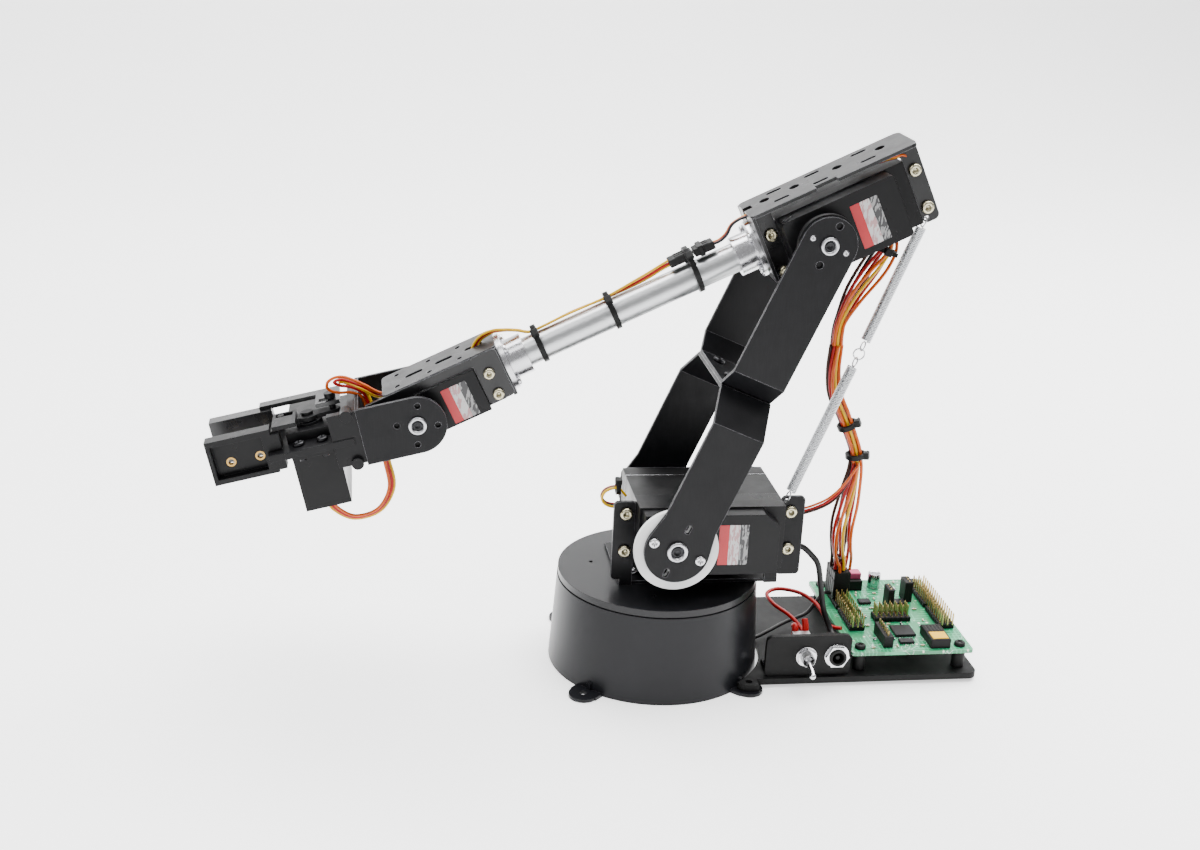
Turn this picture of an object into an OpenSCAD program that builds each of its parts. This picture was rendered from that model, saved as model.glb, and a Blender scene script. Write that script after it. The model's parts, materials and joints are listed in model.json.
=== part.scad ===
// Desktop robot arm: five hobby servos, two bent-sheet forks, a tube forearm and a
// parallel-jaw gripper on a round turntable base, with its controller board beside it.
// Millimetres. Origin: turntable axis on the table. +X is the reach direction, +Z is up,
// +Y is the side that carries the servo horns.

/* [Pose] */
// Backward lean of the upper arm from upright, degrees
arm_lean = 23; // [0:0.5:40]
// Downward slope of the forearm, degrees
forearm_slope = 25.7; // [0:0.1:60]
// Downward slope of the hand, degrees
hand_slope = 13.2; // [-30:0.1:60]
// Gap between the jaws
jaw_gap = 18; // [1:0.5:32]

/* [Arm lengths] */
// Shoulder axis above the table
shoulder_height = 70.9; // [60:0.1:90]
// Shoulder axis to elbow axis
upper_length = 146.05; // [100:0.05:200]
// Elbow axis to wrist axis
forearm_length = 187.3; // [120:0.1:260]
// Middle plane of the arm, sideways from the turntable axis
arm_mid = 3.25; // [0:0.05:6]

/* [Base] */
// Radius of the base housing at the table
base_r = 48.8; // [40:0.1:60]
// Radius of the base housing at its top
base_top_r = 46.2; // [38:0.1:58]
// Height of the base housing
base_h = 41.2; // [36:0.1:50]
// Wall of the base housing
base_wall = 2.4; // [1.5:0.1:4]
// Radius to the tip of each foot
foot_r = 60; // [52:0.5:70]
// Thickness of the feet
foot_t = 1.6; // [1:0.1:4]
// Radius of the screw holes in the feet
foot_hole_r = 53.5; // [50:0.5:60]
// Radius of the turntable disc
disc_r = 45.9; // [38:0.1:56]
// Thickness of the turntable disc
disc_t = 3.2; // [2:0.1:6]

/* [Electronics] */
// Length of the electronics plate behind the base
plate_end = 147.4; // [120:0.2:170]
// Thickness of the electronics plate
plate_t = 3; // [2:0.1:5]
// Circuit board width along the plate
board_w = 58.4; // [40:0.2:80]
// Circuit board depth across the plate
board_d = 76.2; // [50:0.2:90]
// Standoff height under the board
standoff_h = 8.8; // [4:0.2:20]
// Switch panel height
panel_h = 20; // [14:0.5:30]
// Switch panel width
panel_w = 40; // [30:0.5:60]
// Downward tilt of the switch lever, degrees
lever_tilt = 20; // [10:1:25]

/* [Sheet metal] */
// Sheet thickness of the forks
sheet_t = 1.5; // [1:0.1:3]
// Width of the fork strips
strip_w = 24.4; // [18:0.2:32]
// Radius of the lower fork ends at the shoulder
fork_end_r = 14.6; // [12:0.1:20]
// Sheet thickness of the servo brackets
bracket_t = 1.6; // [1:0.1:3]

/* [Servos] */
// Shoulder servo body length
big_l = 66; // [55:0.5:75]
// Shoulder servo body width
big_w = 30; // [24:0.5:36]
// Elbow servo body length
mid_l = 59; // [50:0.5:66]
// Elbow servo body width
mid_w = 29; // [20:0.5:32]
// Small servo body length
std_l = 40.6; // [36:0.2:44]
// Small servo body width
std_w = 19.8; // [18:0.2:22]
// Radius of the white shoulder horn
white_horn_r = 18.7; // [14:0.1:22]

/* [Forearm] */
// Outer radius of the forearm tube
tube_r = 6.35; // [4:0.05:10]
// Height of the tube above the elbow-wrist line
tube_up = 2.6; // [0:0.1:6]
// Radius of the hub flanges
hub_r = 12.7; // [10:0.1:16]

/* [Gripper] */
// Crank radius to each jaw pin
crank_r = 11.1; // [8:0.1:14]
// Length of the jaws
jaw_l = 31; // [24:0.5:50]
// Height of the jaws
jaw_h = 19.5; // [12:0.5:30]
// Thickness of each jaw
jaw_t = 7; // [5:0.5:12]

/* [Springs] */
// Outer radius of the springs
spring_r = 2.4; // [1.5:0.1:4]

/* [Hidden] */
$fn = 96;
run = 0.05;                       // radial running fit of shafts and pins
gap = 0.3;                        // clearance between parts that slide past each other
shoulder_z = shoulder_height;
elbow_x = -upper_length * sin(arm_lean);
elbow_z = shoulder_z + upper_length * cos(arm_lean);
wrist_x = elbow_x + forearm_length * cos(forearm_slope);
wrist_z = elbow_z - forearm_length * sin(forearm_slope);
disc_z = base_h + 0.5;            // underside of the turntable disc
disc_top = disc_z + disc_t;
plate_z = foot_t;                 // underside of the electronics plate
plate_top = plate_z + plate_t;
board_z = plate_top + standoff_h;
board_top = board_z + 1.6;
board_x = -116.1;                 // board centre
board_y = -5.1;
panel_x = -66;                    // switch panel centre
panel_y = 33.7;                   // front face of the switch panel
control_z = plate_top + 9.8;      // height of the switch and the socket
toggle_x = -64.9;
jack_x = -79.2;

// fork planes, measured sideways from the turntable axis
near_low = arm_mid + 37.25;       // outer face of the lower fork, horn side
far_low = arm_mid - 37.25;
near_up = arm_mid + 30.25;        // outer face of the upper fork, horn side
far_up = arm_mid - 30.25;
web_half = 23;                    // half width of the joined webs
web_s = upper_length / 2;         // webs meet half way along the arm
near_hand = 25.1;                 // outer face of the hand bracket, horn side
far_hand = 2 * arm_mid - near_hand;

// shoulder servo, from the shoulder axis
big_back = -51;
ear_y = 18.7;                     // outer face of the shoulder bracket ears
big_bottom = -21;
big_top = 34.4;
// elbow servo, from the elbow axis, along the forearm
mid_back = -44.5;
mid_ear_y = 14;
mid_bottom = -22;
mid_top = 24.4;
top_plate_b = 20.5;               // outer face of the elbow bracket top plate
// wrist servo, from the wrist axis
std_ear_y = 15.9;
std_bottom = -15;
std_top = 19;
wrist_plate_b = 14.7;
hub_a1 = 24;                      // elbow bracket front wall, outer face
hub_a2 = forearm_length - 43.4;   // wrist bracket rear wall, outer face

// hand, from the wrist axis
web_a = 24;                       // outer face of the hand bracket web
crank_a = 45.5;                   // gripper servo shaft
deck_b = -2.5;                    // underside of the gripper deck
deck_t = 3;
rail_a = 63.5;                    // front edge of the gripper deck
jaw_a = 57.6;                     // rear face of the jaws
jaw_b = -9;                       // underside of the jaws
insert_b = -1.4;                  // height of the brass inserts
jaw_in = jaw_gap / 2;             // inner face of each jaw from the middle plane
jaw_closed = 0.3;                 // inner face at the closed stop
jaw_open = 16;                    // inner face at the open stop
jaw_centre = (jaw_closed + jaw_open) / 2;
crank_phi = (jaw_in - jaw_centre) / (jaw_open - jaw_closed) * 90;

// springs: holes that the hooks pass through, and the ring between the springs
eye_r = 2.1;
eye_gap = 3.85;                   // ring centre to the centre of each eye on it
low_hook = [-53.3, ear_y - bracket_t / 2, shoulder_z + 14.1];
ring_c = [-80.7, 15.5, 152.9];
up_hook_a = -46.6;                // along the forearm
up_hook_b = -13.3;                // below the elbow-wrist line
up_hook = [elbow_x + up_hook_a * cos(forearm_slope) + up_hook_b * sin(forearm_slope),
  mid_ear_y - bracket_t / 2, elbow_z - up_hook_a * sin(forearm_slope) + up_hook_b * cos(forearm_slope)];

// ---------- placing ----------
module on_upper() translate([0, 0, shoulder_z]) rotate([0, -arm_lean, 0]) children();
module on_forearm() translate([elbow_x, 0, elbow_z]) rotate([0, forearm_slope, 0]) children();
module on_wrist() on_forearm() translate([forearm_length, 0, 0]) children();
module on_hand() translate([wrist_x, 0, wrist_z]) rotate([0, hand_slope, 0]) children();

// ---------- helpers ----------
// box by its low and high corners
module box(lo, hi) translate(lo) cube(hi - lo);
// cylinder along Y from y0 to y1 at (x, z)
module ycyl(x, z, y0, y1, r) translate([x, y0, z]) rotate([-90, 0, 0]) cylinder(h = y1 - y0, r = r);
// cylinder along X from x0 to x1 at (y, z)
module xcyl(y, z, x0, x1, r) translate([x0, y, z]) rotate([0, 90, 0]) cylinder(h = x1 - x0, r = r);
// cylinder along Z from z0 to z1 at (x, y)
module zcyl(x, y, z0, z1, r) translate([x, y, z0]) cylinder(h = z1 - z0, r = r);
// flat shape drawn as (x, z), from y0 to y1
module yplate(y0, y1) translate([0, y1, 0]) rotate([90, 0, 0]) linear_extrude(y1 - y0) children();
// rectangle with rounded corners between two corners
module rrect(lo, hi, r) {
  translate([lo[0] + r, lo[1]]) square([hi[0] - lo[0] - 2 * r, hi[1] - lo[1]]);
  translate([lo[0], lo[1] + r]) square([hi[0] - lo[0], hi[1] - lo[1] - 2 * r]);
  for (x = [lo[0] + r, hi[0] - r], y = [lo[1] + r, hi[1] - r]) translate([x, y]) circle(r);
}
// slot of half width r between two points on a line along x or z
module slot2(a, b, r) {
  translate(a) circle(r);
  translate(b) circle(r);
  translate([min(a[0], b[0]) - (a[0] == b[0] ? r : 0), min(a[1], b[1]) - (a[1] == b[1] ? r : 0)])
    square([abs(a[0] - b[0]) + (a[0] == b[0] ? 2 * r : 0), abs(a[1] - b[1]) + (a[1] == b[1] ? 2 * r : 0)]);
}
// pan-head screw along -Y, seat of the head at y
module yscrew(x, y, z, l, r = 1.45, hr = 2.8, hh = 1.9) difference() {
  union() { ycyl(x, z, y, y + hh, hr); ycyl(x, z, y - l, y, r); }
  ycyl(x, z, y + hh - 1, y + hh + 1, 1.1);
}
// pan-head screw along -Z, seat of the head at z
module zscrew(x, y, z, l, r = 1.45, hr = 2.8, hh = 1.9) difference() {
  union() { zcyl(x, y, z, z + hh, hr); zcyl(x, y, z - l, z, r); }
  zcyl(x, y, z + hh - 1, z + hh + 1, 1.1);
}
// screw along X with its head at x, pointing toward dir
module xscrew(x, y, z, l, dir, r = 1.45, hr = 2.4, hh = 1.4)
  if (dir < 0) { xcyl(y, z, x, x + hh, hr); xcyl(y, z, x - l, x, r); }
  else { xcyl(y, z, x - hh, x, hr); xcyl(y, z, x, x + l, r); }

// smooth route through hand-placed points, and a round cord along it
function unit(v) = v / norm(v);
function blend4(p, q, s, t, u) = 0.5 * (2 * q + (s - p) * u + (2 * p - 5 * q + 4 * s - t) * u * u
  + (3 * q - p - 3 * s + t) * u * u * u);
function route(p, n) = concat([for (i = [0 : len(p) - 2]) for (j = [0 : n - 1])
  blend4(p[max(i - 1, 0)], p[i], p[i + 1], p[min(i + 2, len(p) - 1)], j / n)], [p[len(p) - 1]]);
module cord(pts, r, ref = [0, 1, 0], sides = 8, steps = 5) {
  c = route(pts, steps);
  n = len(c);
  dirs = [for (i = [0 : n - 1]) unit(c[min(i + 1, n - 1)] - c[max(i - 1, 0)])];
  rings = [for (i = [0 : n - 1]) for (k = [0 : sides - 1])
    let (u = unit(cross(dirs[i], ref)), v = cross(dirs[i], u), a = 360 * k / sides)
    c[i] + r * (cos(a) * u + sin(a) * v)];
  walls = [for (i = [0 : n - 2]) for (k = [0 : sides - 1])
    let (m = (k + 1) % sides) [i * sides + k, (i + 1) * sides + k, (i + 1) * sides + m, i * sides + m]];
  polyhedron(rings, concat([[for (k = [0 : sides - 1]) k]], walls,
    [[for (k = [0 : sides - 1]) (n - 1) * sides + sides - 1 - k]]));
}

// ---------- base ----------
module base_shell() color([0.17, 0.17, 0.19]) difference() {
  union() {
    rotate_extrude() polygon([[base_r - base_wall, 0], [base_r, 0], [base_top_r, base_h],
      [13, base_h], [13, base_h - 2.6], [base_top_r - base_wall, base_h - 2.6],
      [base_r - base_wall, foot_t]]);
    for (a = [45 : 90 : 315]) rotate(a) difference() {
      union() {
        box([base_r - 2, -7, 0], [foot_hole_r, 7, foot_t]);
        zcyl(foot_hole_r, 0, 0, foot_t, foot_r - foot_hole_r);
        box([base_r - 2, -1, 0], [base_r + 1, 1, 5]);
      }
      zcyl(foot_hole_r, 0, -1, foot_t + 1, 1.6);
      translate([0, 0, -1]) cylinder(h = 8, r = base_r - 1.4);
    }
    for (x = [-10 - 24.75, -10 + 24.75], y = [-5, 5])
      zcyl(x, y, 28.5, base_h - 2.6, 3.4);
  }
  for (x = [-10 - 24.75, -10 + 24.75], y = [-5, 5]) zcyl(x, y, 28, 36, 1.5);
  // cable notch at the back edge
  box([-base_r - 1, -4, -1], [-base_r + 8, 4, 8.4]);
}

module base_servo() color([0.07, 0.07, 0.08]) difference() {
  union() {
    box([-30.3, -std_w / 2, 1.6], [10.3, std_w / 2, 36.2]);
    box([-37.4, -9, 26], [17.4, 9, 28.5]);
    zcyl(0, 0, 36.2, 37.4, 6);
  }
  for (x = [-10 - 24.75, -10 + 24.75], y = [-5, 5]) zcyl(x, y, 20, 30, 1.6);
  zcyl(0, 0, 30, 40, 3 + run);
}

module base_screws() color([0.75, 0.75, 0.77]) {
  for (x = [-10 - 24.75, -10 + 24.75], y = [-5, 5])
    translate([0, 0, 52]) mirror([0, 0, 1]) zscrew(x, y, 26, 8);
  for (x = [-24, 24], y = [-33, 33]) zscrew(board_x + x, board_y + y, board_top, 6, hr = 2.6);
  for (x = [-16, 16]) zscrew(panel_x + x, 25.5, plate_top + 2, 4.4);
}

module electronics_plate() color([0.06, 0.06, 0.06]) difference() {
  union() {
    box([-plate_end + 4, -47.8, plate_z], [-36, 35.9, plate_top]);
    box([-plate_end, -43.8, plate_z], [-46, 31.9, plate_top]);
    for (y = [-43.8, 31.9]) zcyl(-plate_end + 4, y, plate_z, plate_top, 4);
    for (s = [1, -1]) {
      zcyl(-37.5, s * 36, plate_z, plate_top, 5.5);
      box([-60, min(s * 30.5, s * 41.5), plate_z], [-37.5, max(s * 30.5, s * 41.5), plate_top]);
    }
  }
  box([-200, 35.9, -1], [-42, 60, 10]);
  box([-200, -60, -1], [-42, -47.8, 10]);
  zcyl(0, 0, -1, 10, base_r + 1.3);
  for (a = [135, 225]) rotate(a) zcyl(foot_hole_r, 0, -1, 10, 1.6);
  for (x = [-24, 24], y = [-33, 33]) zcyl(board_x + x, board_y + y, -1, 10, 1.6);
  for (x = [-16, 16]) zcyl(panel_x + x, 25.5, -1, 10, 1.6);
}

module standoffs() color([0.08, 0.08, 0.08])
  for (x = [-24, 24], y = [-33, 33]) difference() {
    zcyl(board_x + x, board_y + y, plate_top, board_z, 3);
    zcyl(board_x + x, board_y + y, plate_top + 2, board_z + 1, 1.5);
  }

module circuit_board() color([0.13, 0.5, 0.28]) difference() {
  translate([0, 0, board_z]) linear_extrude(1.6)
    rrect([board_x - board_w / 2, board_y - board_d / 2],
      [board_x + board_w / 2, board_y + board_d / 2], 1.5);
  for (x = [-24, 24], y = [-33, 33]) zcyl(board_x + x, board_y + y, 0, 40, 1.6);
}

// three-row headers down both long edges and a block in the middle of the board
module pin_headers() color([0.05, 0.05, 0.05]) {
  for (x = [board_x + 20.5, board_x - 23.5], j = [0 : 1])
    box([x - 3.8, board_y - 26 + j * 22.4, board_top], [x + 3.8, board_y - 5.7 + j * 22.4, board_top + 2.5]);
  box([board_x - 9, board_y + 1, board_top], [board_x + 10, board_y + 8.6, board_top + 2.5]);
  for (x = [board_x + 20.5, board_x - 23.5], j = [0 : 15], k = [-1 : 1])
    if (!(x > board_x && j < 5))
      box([x + k * 2.54 - 0.32, board_y - 24.9 + j * 2.8 - 0.32, board_top + 2.5],
        [x + k * 2.54 + 0.32, board_y - 24.9 + j * 2.8 + 0.32, board_top + 8.5]);
  for (j = [0 : 6], k = [-1 : 1])
    box([board_x - 7 + j * 2.54 - 0.32, board_y + 4.8 + k * 2.2 - 0.32, board_top + 2.5],
      [board_x - 7 + j * 2.54 + 0.32, board_y + 4.8 + k * 2.2 + 0.32, board_top + 8.5]);
}

module board_chips() color([0.08, 0.08, 0.09]) {
  box([board_x - 6, board_y + 14, board_top], [board_x + 4, board_y + 24, board_top + 1.6]);
  box([board_x - 18.5, board_y + 20, board_top], [board_x - 9, board_y + 36, board_top + 5]);
  box([board_x + 8.5, board_y + 18, board_top], [board_x + 13, board_y + 34, board_top + 6]);
  box([board_x - 4, board_y - 12, board_top], [board_x - 1, board_y - 4, board_top + 11]);
  box([board_x - 16, board_y - 20, board_top], [board_x - 12, board_y - 12, board_top + 11]);
  box([board_x + 5, board_y - 36, board_top], [board_x + 16, board_y - 26, board_top + 9]);
  zcyl(board_x - 2, board_y - 30, board_top, board_top + 8, 3.2);
}

module loom_plugs() color([0.04, 0.04, 0.04])
  for (j = [0 : 4]) box([board_x + 16.4, board_y - 25.6 + j * 2.8, board_top + 2.6],
    [board_x + 24.6, board_y - 23.1 + j * 2.8, board_top + 17]);

// ---------- switch panel ----------
module switch_panel() color([0.06, 0.06, 0.06]) difference() {
  union() {
    yplate(panel_y - 2.4, panel_y)
      rrect([panel_x - panel_w / 2, plate_top], [panel_x + panel_w / 2, plate_top + panel_h], 3);
    box([panel_x - panel_w / 2 + 1.5, 20, plate_top],
      [panel_x + panel_w / 2 - 1.5, panel_y - 1, plate_top + 2]);
  }
  ycyl(toggle_x, control_z, 20, 40, 3);
  ycyl(jack_x, control_z, 20, 40, 4);
  for (x = [-16, 16]) zcyl(panel_x + x, 25.5, plate_top - 1, plate_top + 4, 1.6);
}

module toggle_switch() color([0.7, 0.7, 0.72]) difference() {
  union() {
    box([toggle_x - 4, panel_y - 12.5, control_z - 6.5], [toggle_x + 4, panel_y - 2.4, control_z + 6.5]);
    ycyl(toggle_x, control_z, panel_y - 2.4, panel_y + 5, 2.95);
  }
  ycyl(toggle_x, control_z, panel_y - 1, panel_y + 6, 2.3);
  translate([toggle_x, panel_y + 3, control_z]) rotate([-90, 0, 0]) cylinder(h = 2.2, r1 = 2.3, r2 = 2.8);
}

module toggle_lever() color([0.82, 0.82, 0.84])
  translate([toggle_x, panel_y + 2.4, control_z]) rotate([-lever_tilt, 0, 0]) {
    sphere(r = 1.95);
    xcyl(0, 0, -2.1, 2.1, 0.6);
    ycyl(0, 0, 0, 10.4, 1.15);
    ycyl(0, 0, 6.4, 10.4, 1.45);
    translate([0, 10.4, 0]) sphere(r = 1.45);
  }

module panel_nuts() color([0.78, 0.78, 0.8]) {
  difference() {
    union() {
      translate([toggle_x, panel_y, control_z]) rotate([-90, 30, 0]) cylinder(h = 2, r = 4.6, $fn = 6);
      ycyl(toggle_x, control_z, panel_y, panel_y + 0.5, 4.8);
    }
    ycyl(toggle_x, control_z, panel_y - 1, panel_y + 4, 3);
  }
  difference() {
    union() {
      translate([jack_x, panel_y, control_z]) rotate([-90, 0, 0]) cylinder(h = 2.2, r = 5.6, $fn = 6);
      ycyl(jack_x, control_z, panel_y, panel_y + 0.5, 5.7);
    }
    ycyl(jack_x, control_z, panel_y - 1, panel_y + 4, 4);
  }
}

module power_jack() color([0.05, 0.05, 0.05]) difference() {
  union() {
    ycyl(jack_x, control_z, panel_y - 2.4, panel_y + 3, 3.95);
    ycyl(jack_x, control_z, panel_y - 13, panel_y - 2.4, 5.4);
  }
  difference() {
    ycyl(jack_x, control_z, panel_y - 9, panel_y + 4, 2.8);
    ycyl(jack_x, control_z, panel_y - 10, panel_y + 2, 1);
  }
}

module power_leads() color([0.75, 0.08, 0.08]) {
  cord([[-66.5, 20.9, 16], [-67.6, 14, 18], [-64, 6, 21], [-58, -3, 23], [-57, -12, 24],
    [-64, -17, 24], [-74, -14, 23], [-80, -6, 21], [-82, 4, 18.6], [-83.4, 9, 16.4],
    [-87.2, 13, board_top + 2.2]], 1.1, [0, 0, 1]);
  cord([[-62.6, 20.9, 10], [-62, 14, 9.4], [-66, 6, 9], [-74, 6, 9], [-80, 12, 9.6], [-80, 20.4, 11]],
    1.1, [0, 0, 1]);
  cord([[-43, 0, 6.4], [-50, -1, 6.6], [-56, -4, 7.6], [-67, -11, 9], [-78, -14, 12],
    [-83, -16, 17], [-87, -18, 20.6], [-90.2, -18.4, 20.4]], 1.1, [0, 0, 1]);
}

// ---------- turret ----------
module turret_horn() color([0.1, 0.1, 0.1]) union() {
  zcyl(0, 0, 30.5, disc_z - 2.6, 3);
  zcyl(0, 0, disc_z - 2.6, disc_z, 10);
}

module turret_disc() color([0.2, 0.2, 0.22]) difference() {
  zcyl(0, 0, disc_z, disc_top, disc_r);
  for (p = [[30, -7], [-30, 7], [7, 30], [-7, -30]]) zcyl(p[0], p[1], disc_z - 1, disc_top + 1, 1);
  for (x = [-34, 14], y = [-15, 9]) zcyl(x, y, disc_z - 1, disc_top + 1, 1.5);
}

// foot, back wall carrying the idler bearing, and two ears that take the servo flange
module shoulder_bracket() color([0.07, 0.07, 0.08]) difference() {
  union() {
    box([-52, -25, disc_top], [21, 17.6, disc_top + bracket_t]);
    yplate(-25, -25 + bracket_t) rrect([big_back, disc_top], [big_back + big_l, shoulder_z + 13.6], 3);
    box([15.2, ear_y - bracket_t, disc_top], [21, ear_y, disc_top + 8]);
    yplate(ear_y - bracket_t, ear_y) rrect([15.2, disc_top + 3], [24.9, shoulder_z + 14.6], 2);
    yplate(ear_y - bracket_t, ear_y) rrect([-62, disc_top + 4], [-51.2, shoulder_z + 16.2], 2);
    box([-52, ear_y - bracket_t, disc_top], [-46, ear_y, disc_top + 10.4]);
    ycyl(0, shoulder_z, -27.4, -25, 9);
  }
  ycyl(0, shoulder_z, -30, -20, 4 + run);
  for (x = [19.3, -55.4], z = [-9, 9]) ycyl(x, shoulder_z + z, 10, 30, 1.55);
  for (x = [-34, 14], y = [-15, 9]) zcyl(x, y, disc_top - 1, disc_top + 4, 1.55);
  ycyl(-30, shoulder_z, -30, -20, 6);
  ycyl(low_hook[0], low_hook[2], 10, 30, 1.1);
}

module shoulder_servo_case() color([0.08, 0.08, 0.09]) difference() {
  union() {
    box([big_back, big_bottom, shoulder_z - big_w / 2], [big_back + big_l, 12, shoulder_z + big_w / 2]);
    box([big_back - 1, big_bottom, shoulder_z - 6], [big_back, -10, shoulder_z + 6]);
  }
  for (x = [big_back + 4, big_back + big_l - 4], z = [-11, 11]) ycyl(x, shoulder_z + z, -22, -19, 1.8);
}

module shoulder_gearbox() color([0.1, 0.1, 0.11]) difference() {
  union() {
    box([big_back, 12, shoulder_z - big_w / 2], [big_back + big_l, 27, shoulder_z + big_w / 2]);
    box([-60.1, 14.4, shoulder_z - 13], [23, 17.1 - 0.02, shoulder_z + 13]);
    yplate(27, big_top) polygon([[-47, shoulder_z - 13.5], [-47, shoulder_z + 9], [-40, shoulder_z + 14.2],
      [13.5, shoulder_z + 14.2], [13.5, shoulder_z - 14.2], [-40, shoulder_z - 14.2]]);
    ycyl(0, shoulder_z, big_top, big_top + 0.8, 9);
  }
  ycyl(0, shoulder_z, 20, 40, 3.5 + run);
  for (x = [19.3, -55.4], z = [-9, 9]) ycyl(x, shoulder_z + z, 10, 20, 1.55);
}

module turret_screws() color([0.72, 0.66, 0.45]) {
  for (x = [19.3, -55.4], z = [-9, 9]) {
    yscrew(x, ear_y, shoulder_z + z, 9);
    difference() { ycyl(x, shoulder_z + z, 12.2, 14.38, 2.7); ycyl(x, shoulder_z + z, 12, 15, 1.47); }
  }
  for (x = [-34, 14], y = [-15, 9]) zscrew(x, y, disc_top + bracket_t, 4.6);
}

// ---------- upper arm (x across the strip, z along the arm) ----------
// strip with a round end of radius r at the origin
module strip_end(r, len) {
  circle(r);
  w = strip_w / 2;
  polygon([[-r * cos(12), r * sin(12)], [-w, len * 0.45], [-w, len], [w, len], [w, len * 0.45],
    [r * cos(12), r * sin(12)]]);
}

module lower_fork() color([0.06, 0.06, 0.07]) on_upper() difference() {
  union() {
    // flared channel: sides, flares and web in one bent strip
    translate([-strip_w / 2, 0, 0]) rotate([90, 0, 90]) linear_extrude(strip_w)
      polygon([[near_low, 30], [near_low, 59.4], [arm_mid + web_half + 0.6, web_s],
        [arm_mid - web_half - 0.6, web_s], [far_low, 59.4], [far_low, 30],
        [far_low + sheet_t, 30], [far_low + sheet_t, 58.8],
        [arm_mid - web_half, web_s - sheet_t], [arm_mid + web_half, web_s - sheet_t],
        [near_low - sheet_t, 58.8], [near_low - sheet_t, 30]]);
    yplate(near_low - sheet_t, near_low) strip_end(fork_end_r, 30.01);
    yplate(far_low, far_low + sheet_t) strip_end(fork_end_r, 30.01);
  }
  for (y = [near_low - 3, far_low - 1]) {
    ycyl(0, 0, y, y + 4, 4.2);
    for (x = [-11.3, 11.3]) ycyl(x, 0, y, y + 4, 1.55);
    if (y > 0) yplate(y, y + 4) for (z = [-1, 1]) slot2([0, z * 11 - 1], [0, z * 11 + 1], 1.1);
  }
  for (y = [-8, 14.5]) for (x = [-6, 6]) zcyl(x, y, web_s - 3, web_s + 1, 1.55);
}

module upper_fork() color([0.06, 0.06, 0.07]) on_upper() difference() {
  union() {
    translate([-strip_w / 2, 0, 0]) rotate([90, 0, 90]) linear_extrude(strip_w)
      polygon([[near_up, upper_length], [near_up, 81.8], [arm_mid + web_half - 0.8, web_s],
        [arm_mid - web_half + 0.8, web_s], [far_up, 81.8], [far_up, upper_length],
        [far_up + sheet_t, upper_length],
        [far_up + sheet_t, 82.4], [arm_mid - web_half + 1.4, web_s + sheet_t],
        [arm_mid + web_half - 1.4, web_s + sheet_t], [near_up - sheet_t, 82.4],
        [near_up - sheet_t, upper_length]]);
    for (y = [near_up - sheet_t, far_up]) ycyl(0, upper_length, y, y + sheet_t, strip_w / 2);
  }
  for (y = [near_up - 3, far_up - 1]) {
    ycyl(0, upper_length, y, y + 4, 3.4);
    for (x = [-8, 8]) ycyl(x, upper_length, y, y + 4, 1.25);
    for (z = [-9, 9]) ycyl(0, upper_length + z, y, y + 4, 1.6);
  }
  for (y = [-8, 14.5]) for (x = [-6, 6]) zcyl(x, y, web_s - 1, web_s + 3, 1.55);
}

module shoulder_horn() color([0.9, 0.9, 0.9]) on_upper() difference() {
  union() {
    ycyl(0, 0, 36.6, near_low - sheet_t, white_horn_r);
    ycyl(0, 0, 35.6, 36.6, 6.5);
    ycyl(0, 0, 28, 35.6, 3.5);
  }
  for (x = [-11.3, 11.3]) ycyl(x, 0, 33, near_low, 1.5);
  ycyl(0, 0, 33, near_low, 2.2);
  yplate(36, near_low) for (z = [-1, 1]) slot2([0, z * 11 - 1], [0, z * 11 + 1], 1.1);
}

module elbow_horn() color([0.08, 0.08, 0.08]) on_upper() difference() {
  union() {
    ycyl(0, upper_length, near_up - sheet_t - 2.6, near_up - sheet_t, 13);
    ycyl(0, upper_length, 25.9, near_up - sheet_t - 2.6, 5.5);
    ycyl(0, upper_length, 18, 25.9, 3);
  }
  ycyl(0, upper_length, 24, near_up, 1.7);
  for (x = [-8, 8]) ycyl(x, upper_length, near_up - 3.5, near_up, 1.25);
}

module arm_screws() color([0.82, 0.82, 0.84]) on_upper() {
  for (x = [-11.3, 11.3]) {
    yscrew(x, near_low, 0, 3.6, hr = 2.3, hh = 1.2);
    translate([0, 2 * far_low, 0]) mirror([0, 1, 0]) yscrew(x, far_low, 0, 1.4, hr = 2.3, hh = 1.2);
  }
  for (x = [-8, 8]) ycyl(x, upper_length, near_up - 3.4, near_up + 0.3, 1.2);
  for (y = [-8, 14.5]) for (x = [-6, 6]) {
    zscrew(x, y, web_s + sheet_t, 5.4);
    difference() {
      zcyl(x, y, web_s - sheet_t - 2.2, web_s - sheet_t, 2.8);
      zcyl(x, y, web_s - 6, web_s, 1.47);
    }
  }
}

// silver eyelets on the horn side and the idler axles on the other side
module arm_pivots() color([0.75, 0.75, 0.77]) on_upper() {
  difference() {
    union() { ycyl(0, 0, near_low, near_low + 1.6, 4.6); ycyl(0, 0, near_low - sheet_t, near_low, 4.1); }
    ycyl(0, 0, near_low + 0.4, near_low + 3, 2.4);
  }
  ycyl(0, 0, 33.6, near_low - sheet_t, 2.15);
  difference() {
    union() {
      ycyl(0, upper_length, near_up, near_up + 1.4, 3.9);
      ycyl(0, upper_length, near_up - sheet_t, near_up, 3.3);
    }
    ycyl(0, upper_length, near_up + 0.4, near_up + 3, 2.3);
  }
  ycyl(0, upper_length, 24.4, near_up - sheet_t, 1.65);
  ycyl(0, 0, far_low, -23.4, 4);
  ycyl(0, 0, far_low - 1.2, far_low, 6);
  ycyl(0, upper_length, far_up, -22.2, 3);
  ycyl(0, upper_length, far_up - 1.2, far_up, 5);
}

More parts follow.
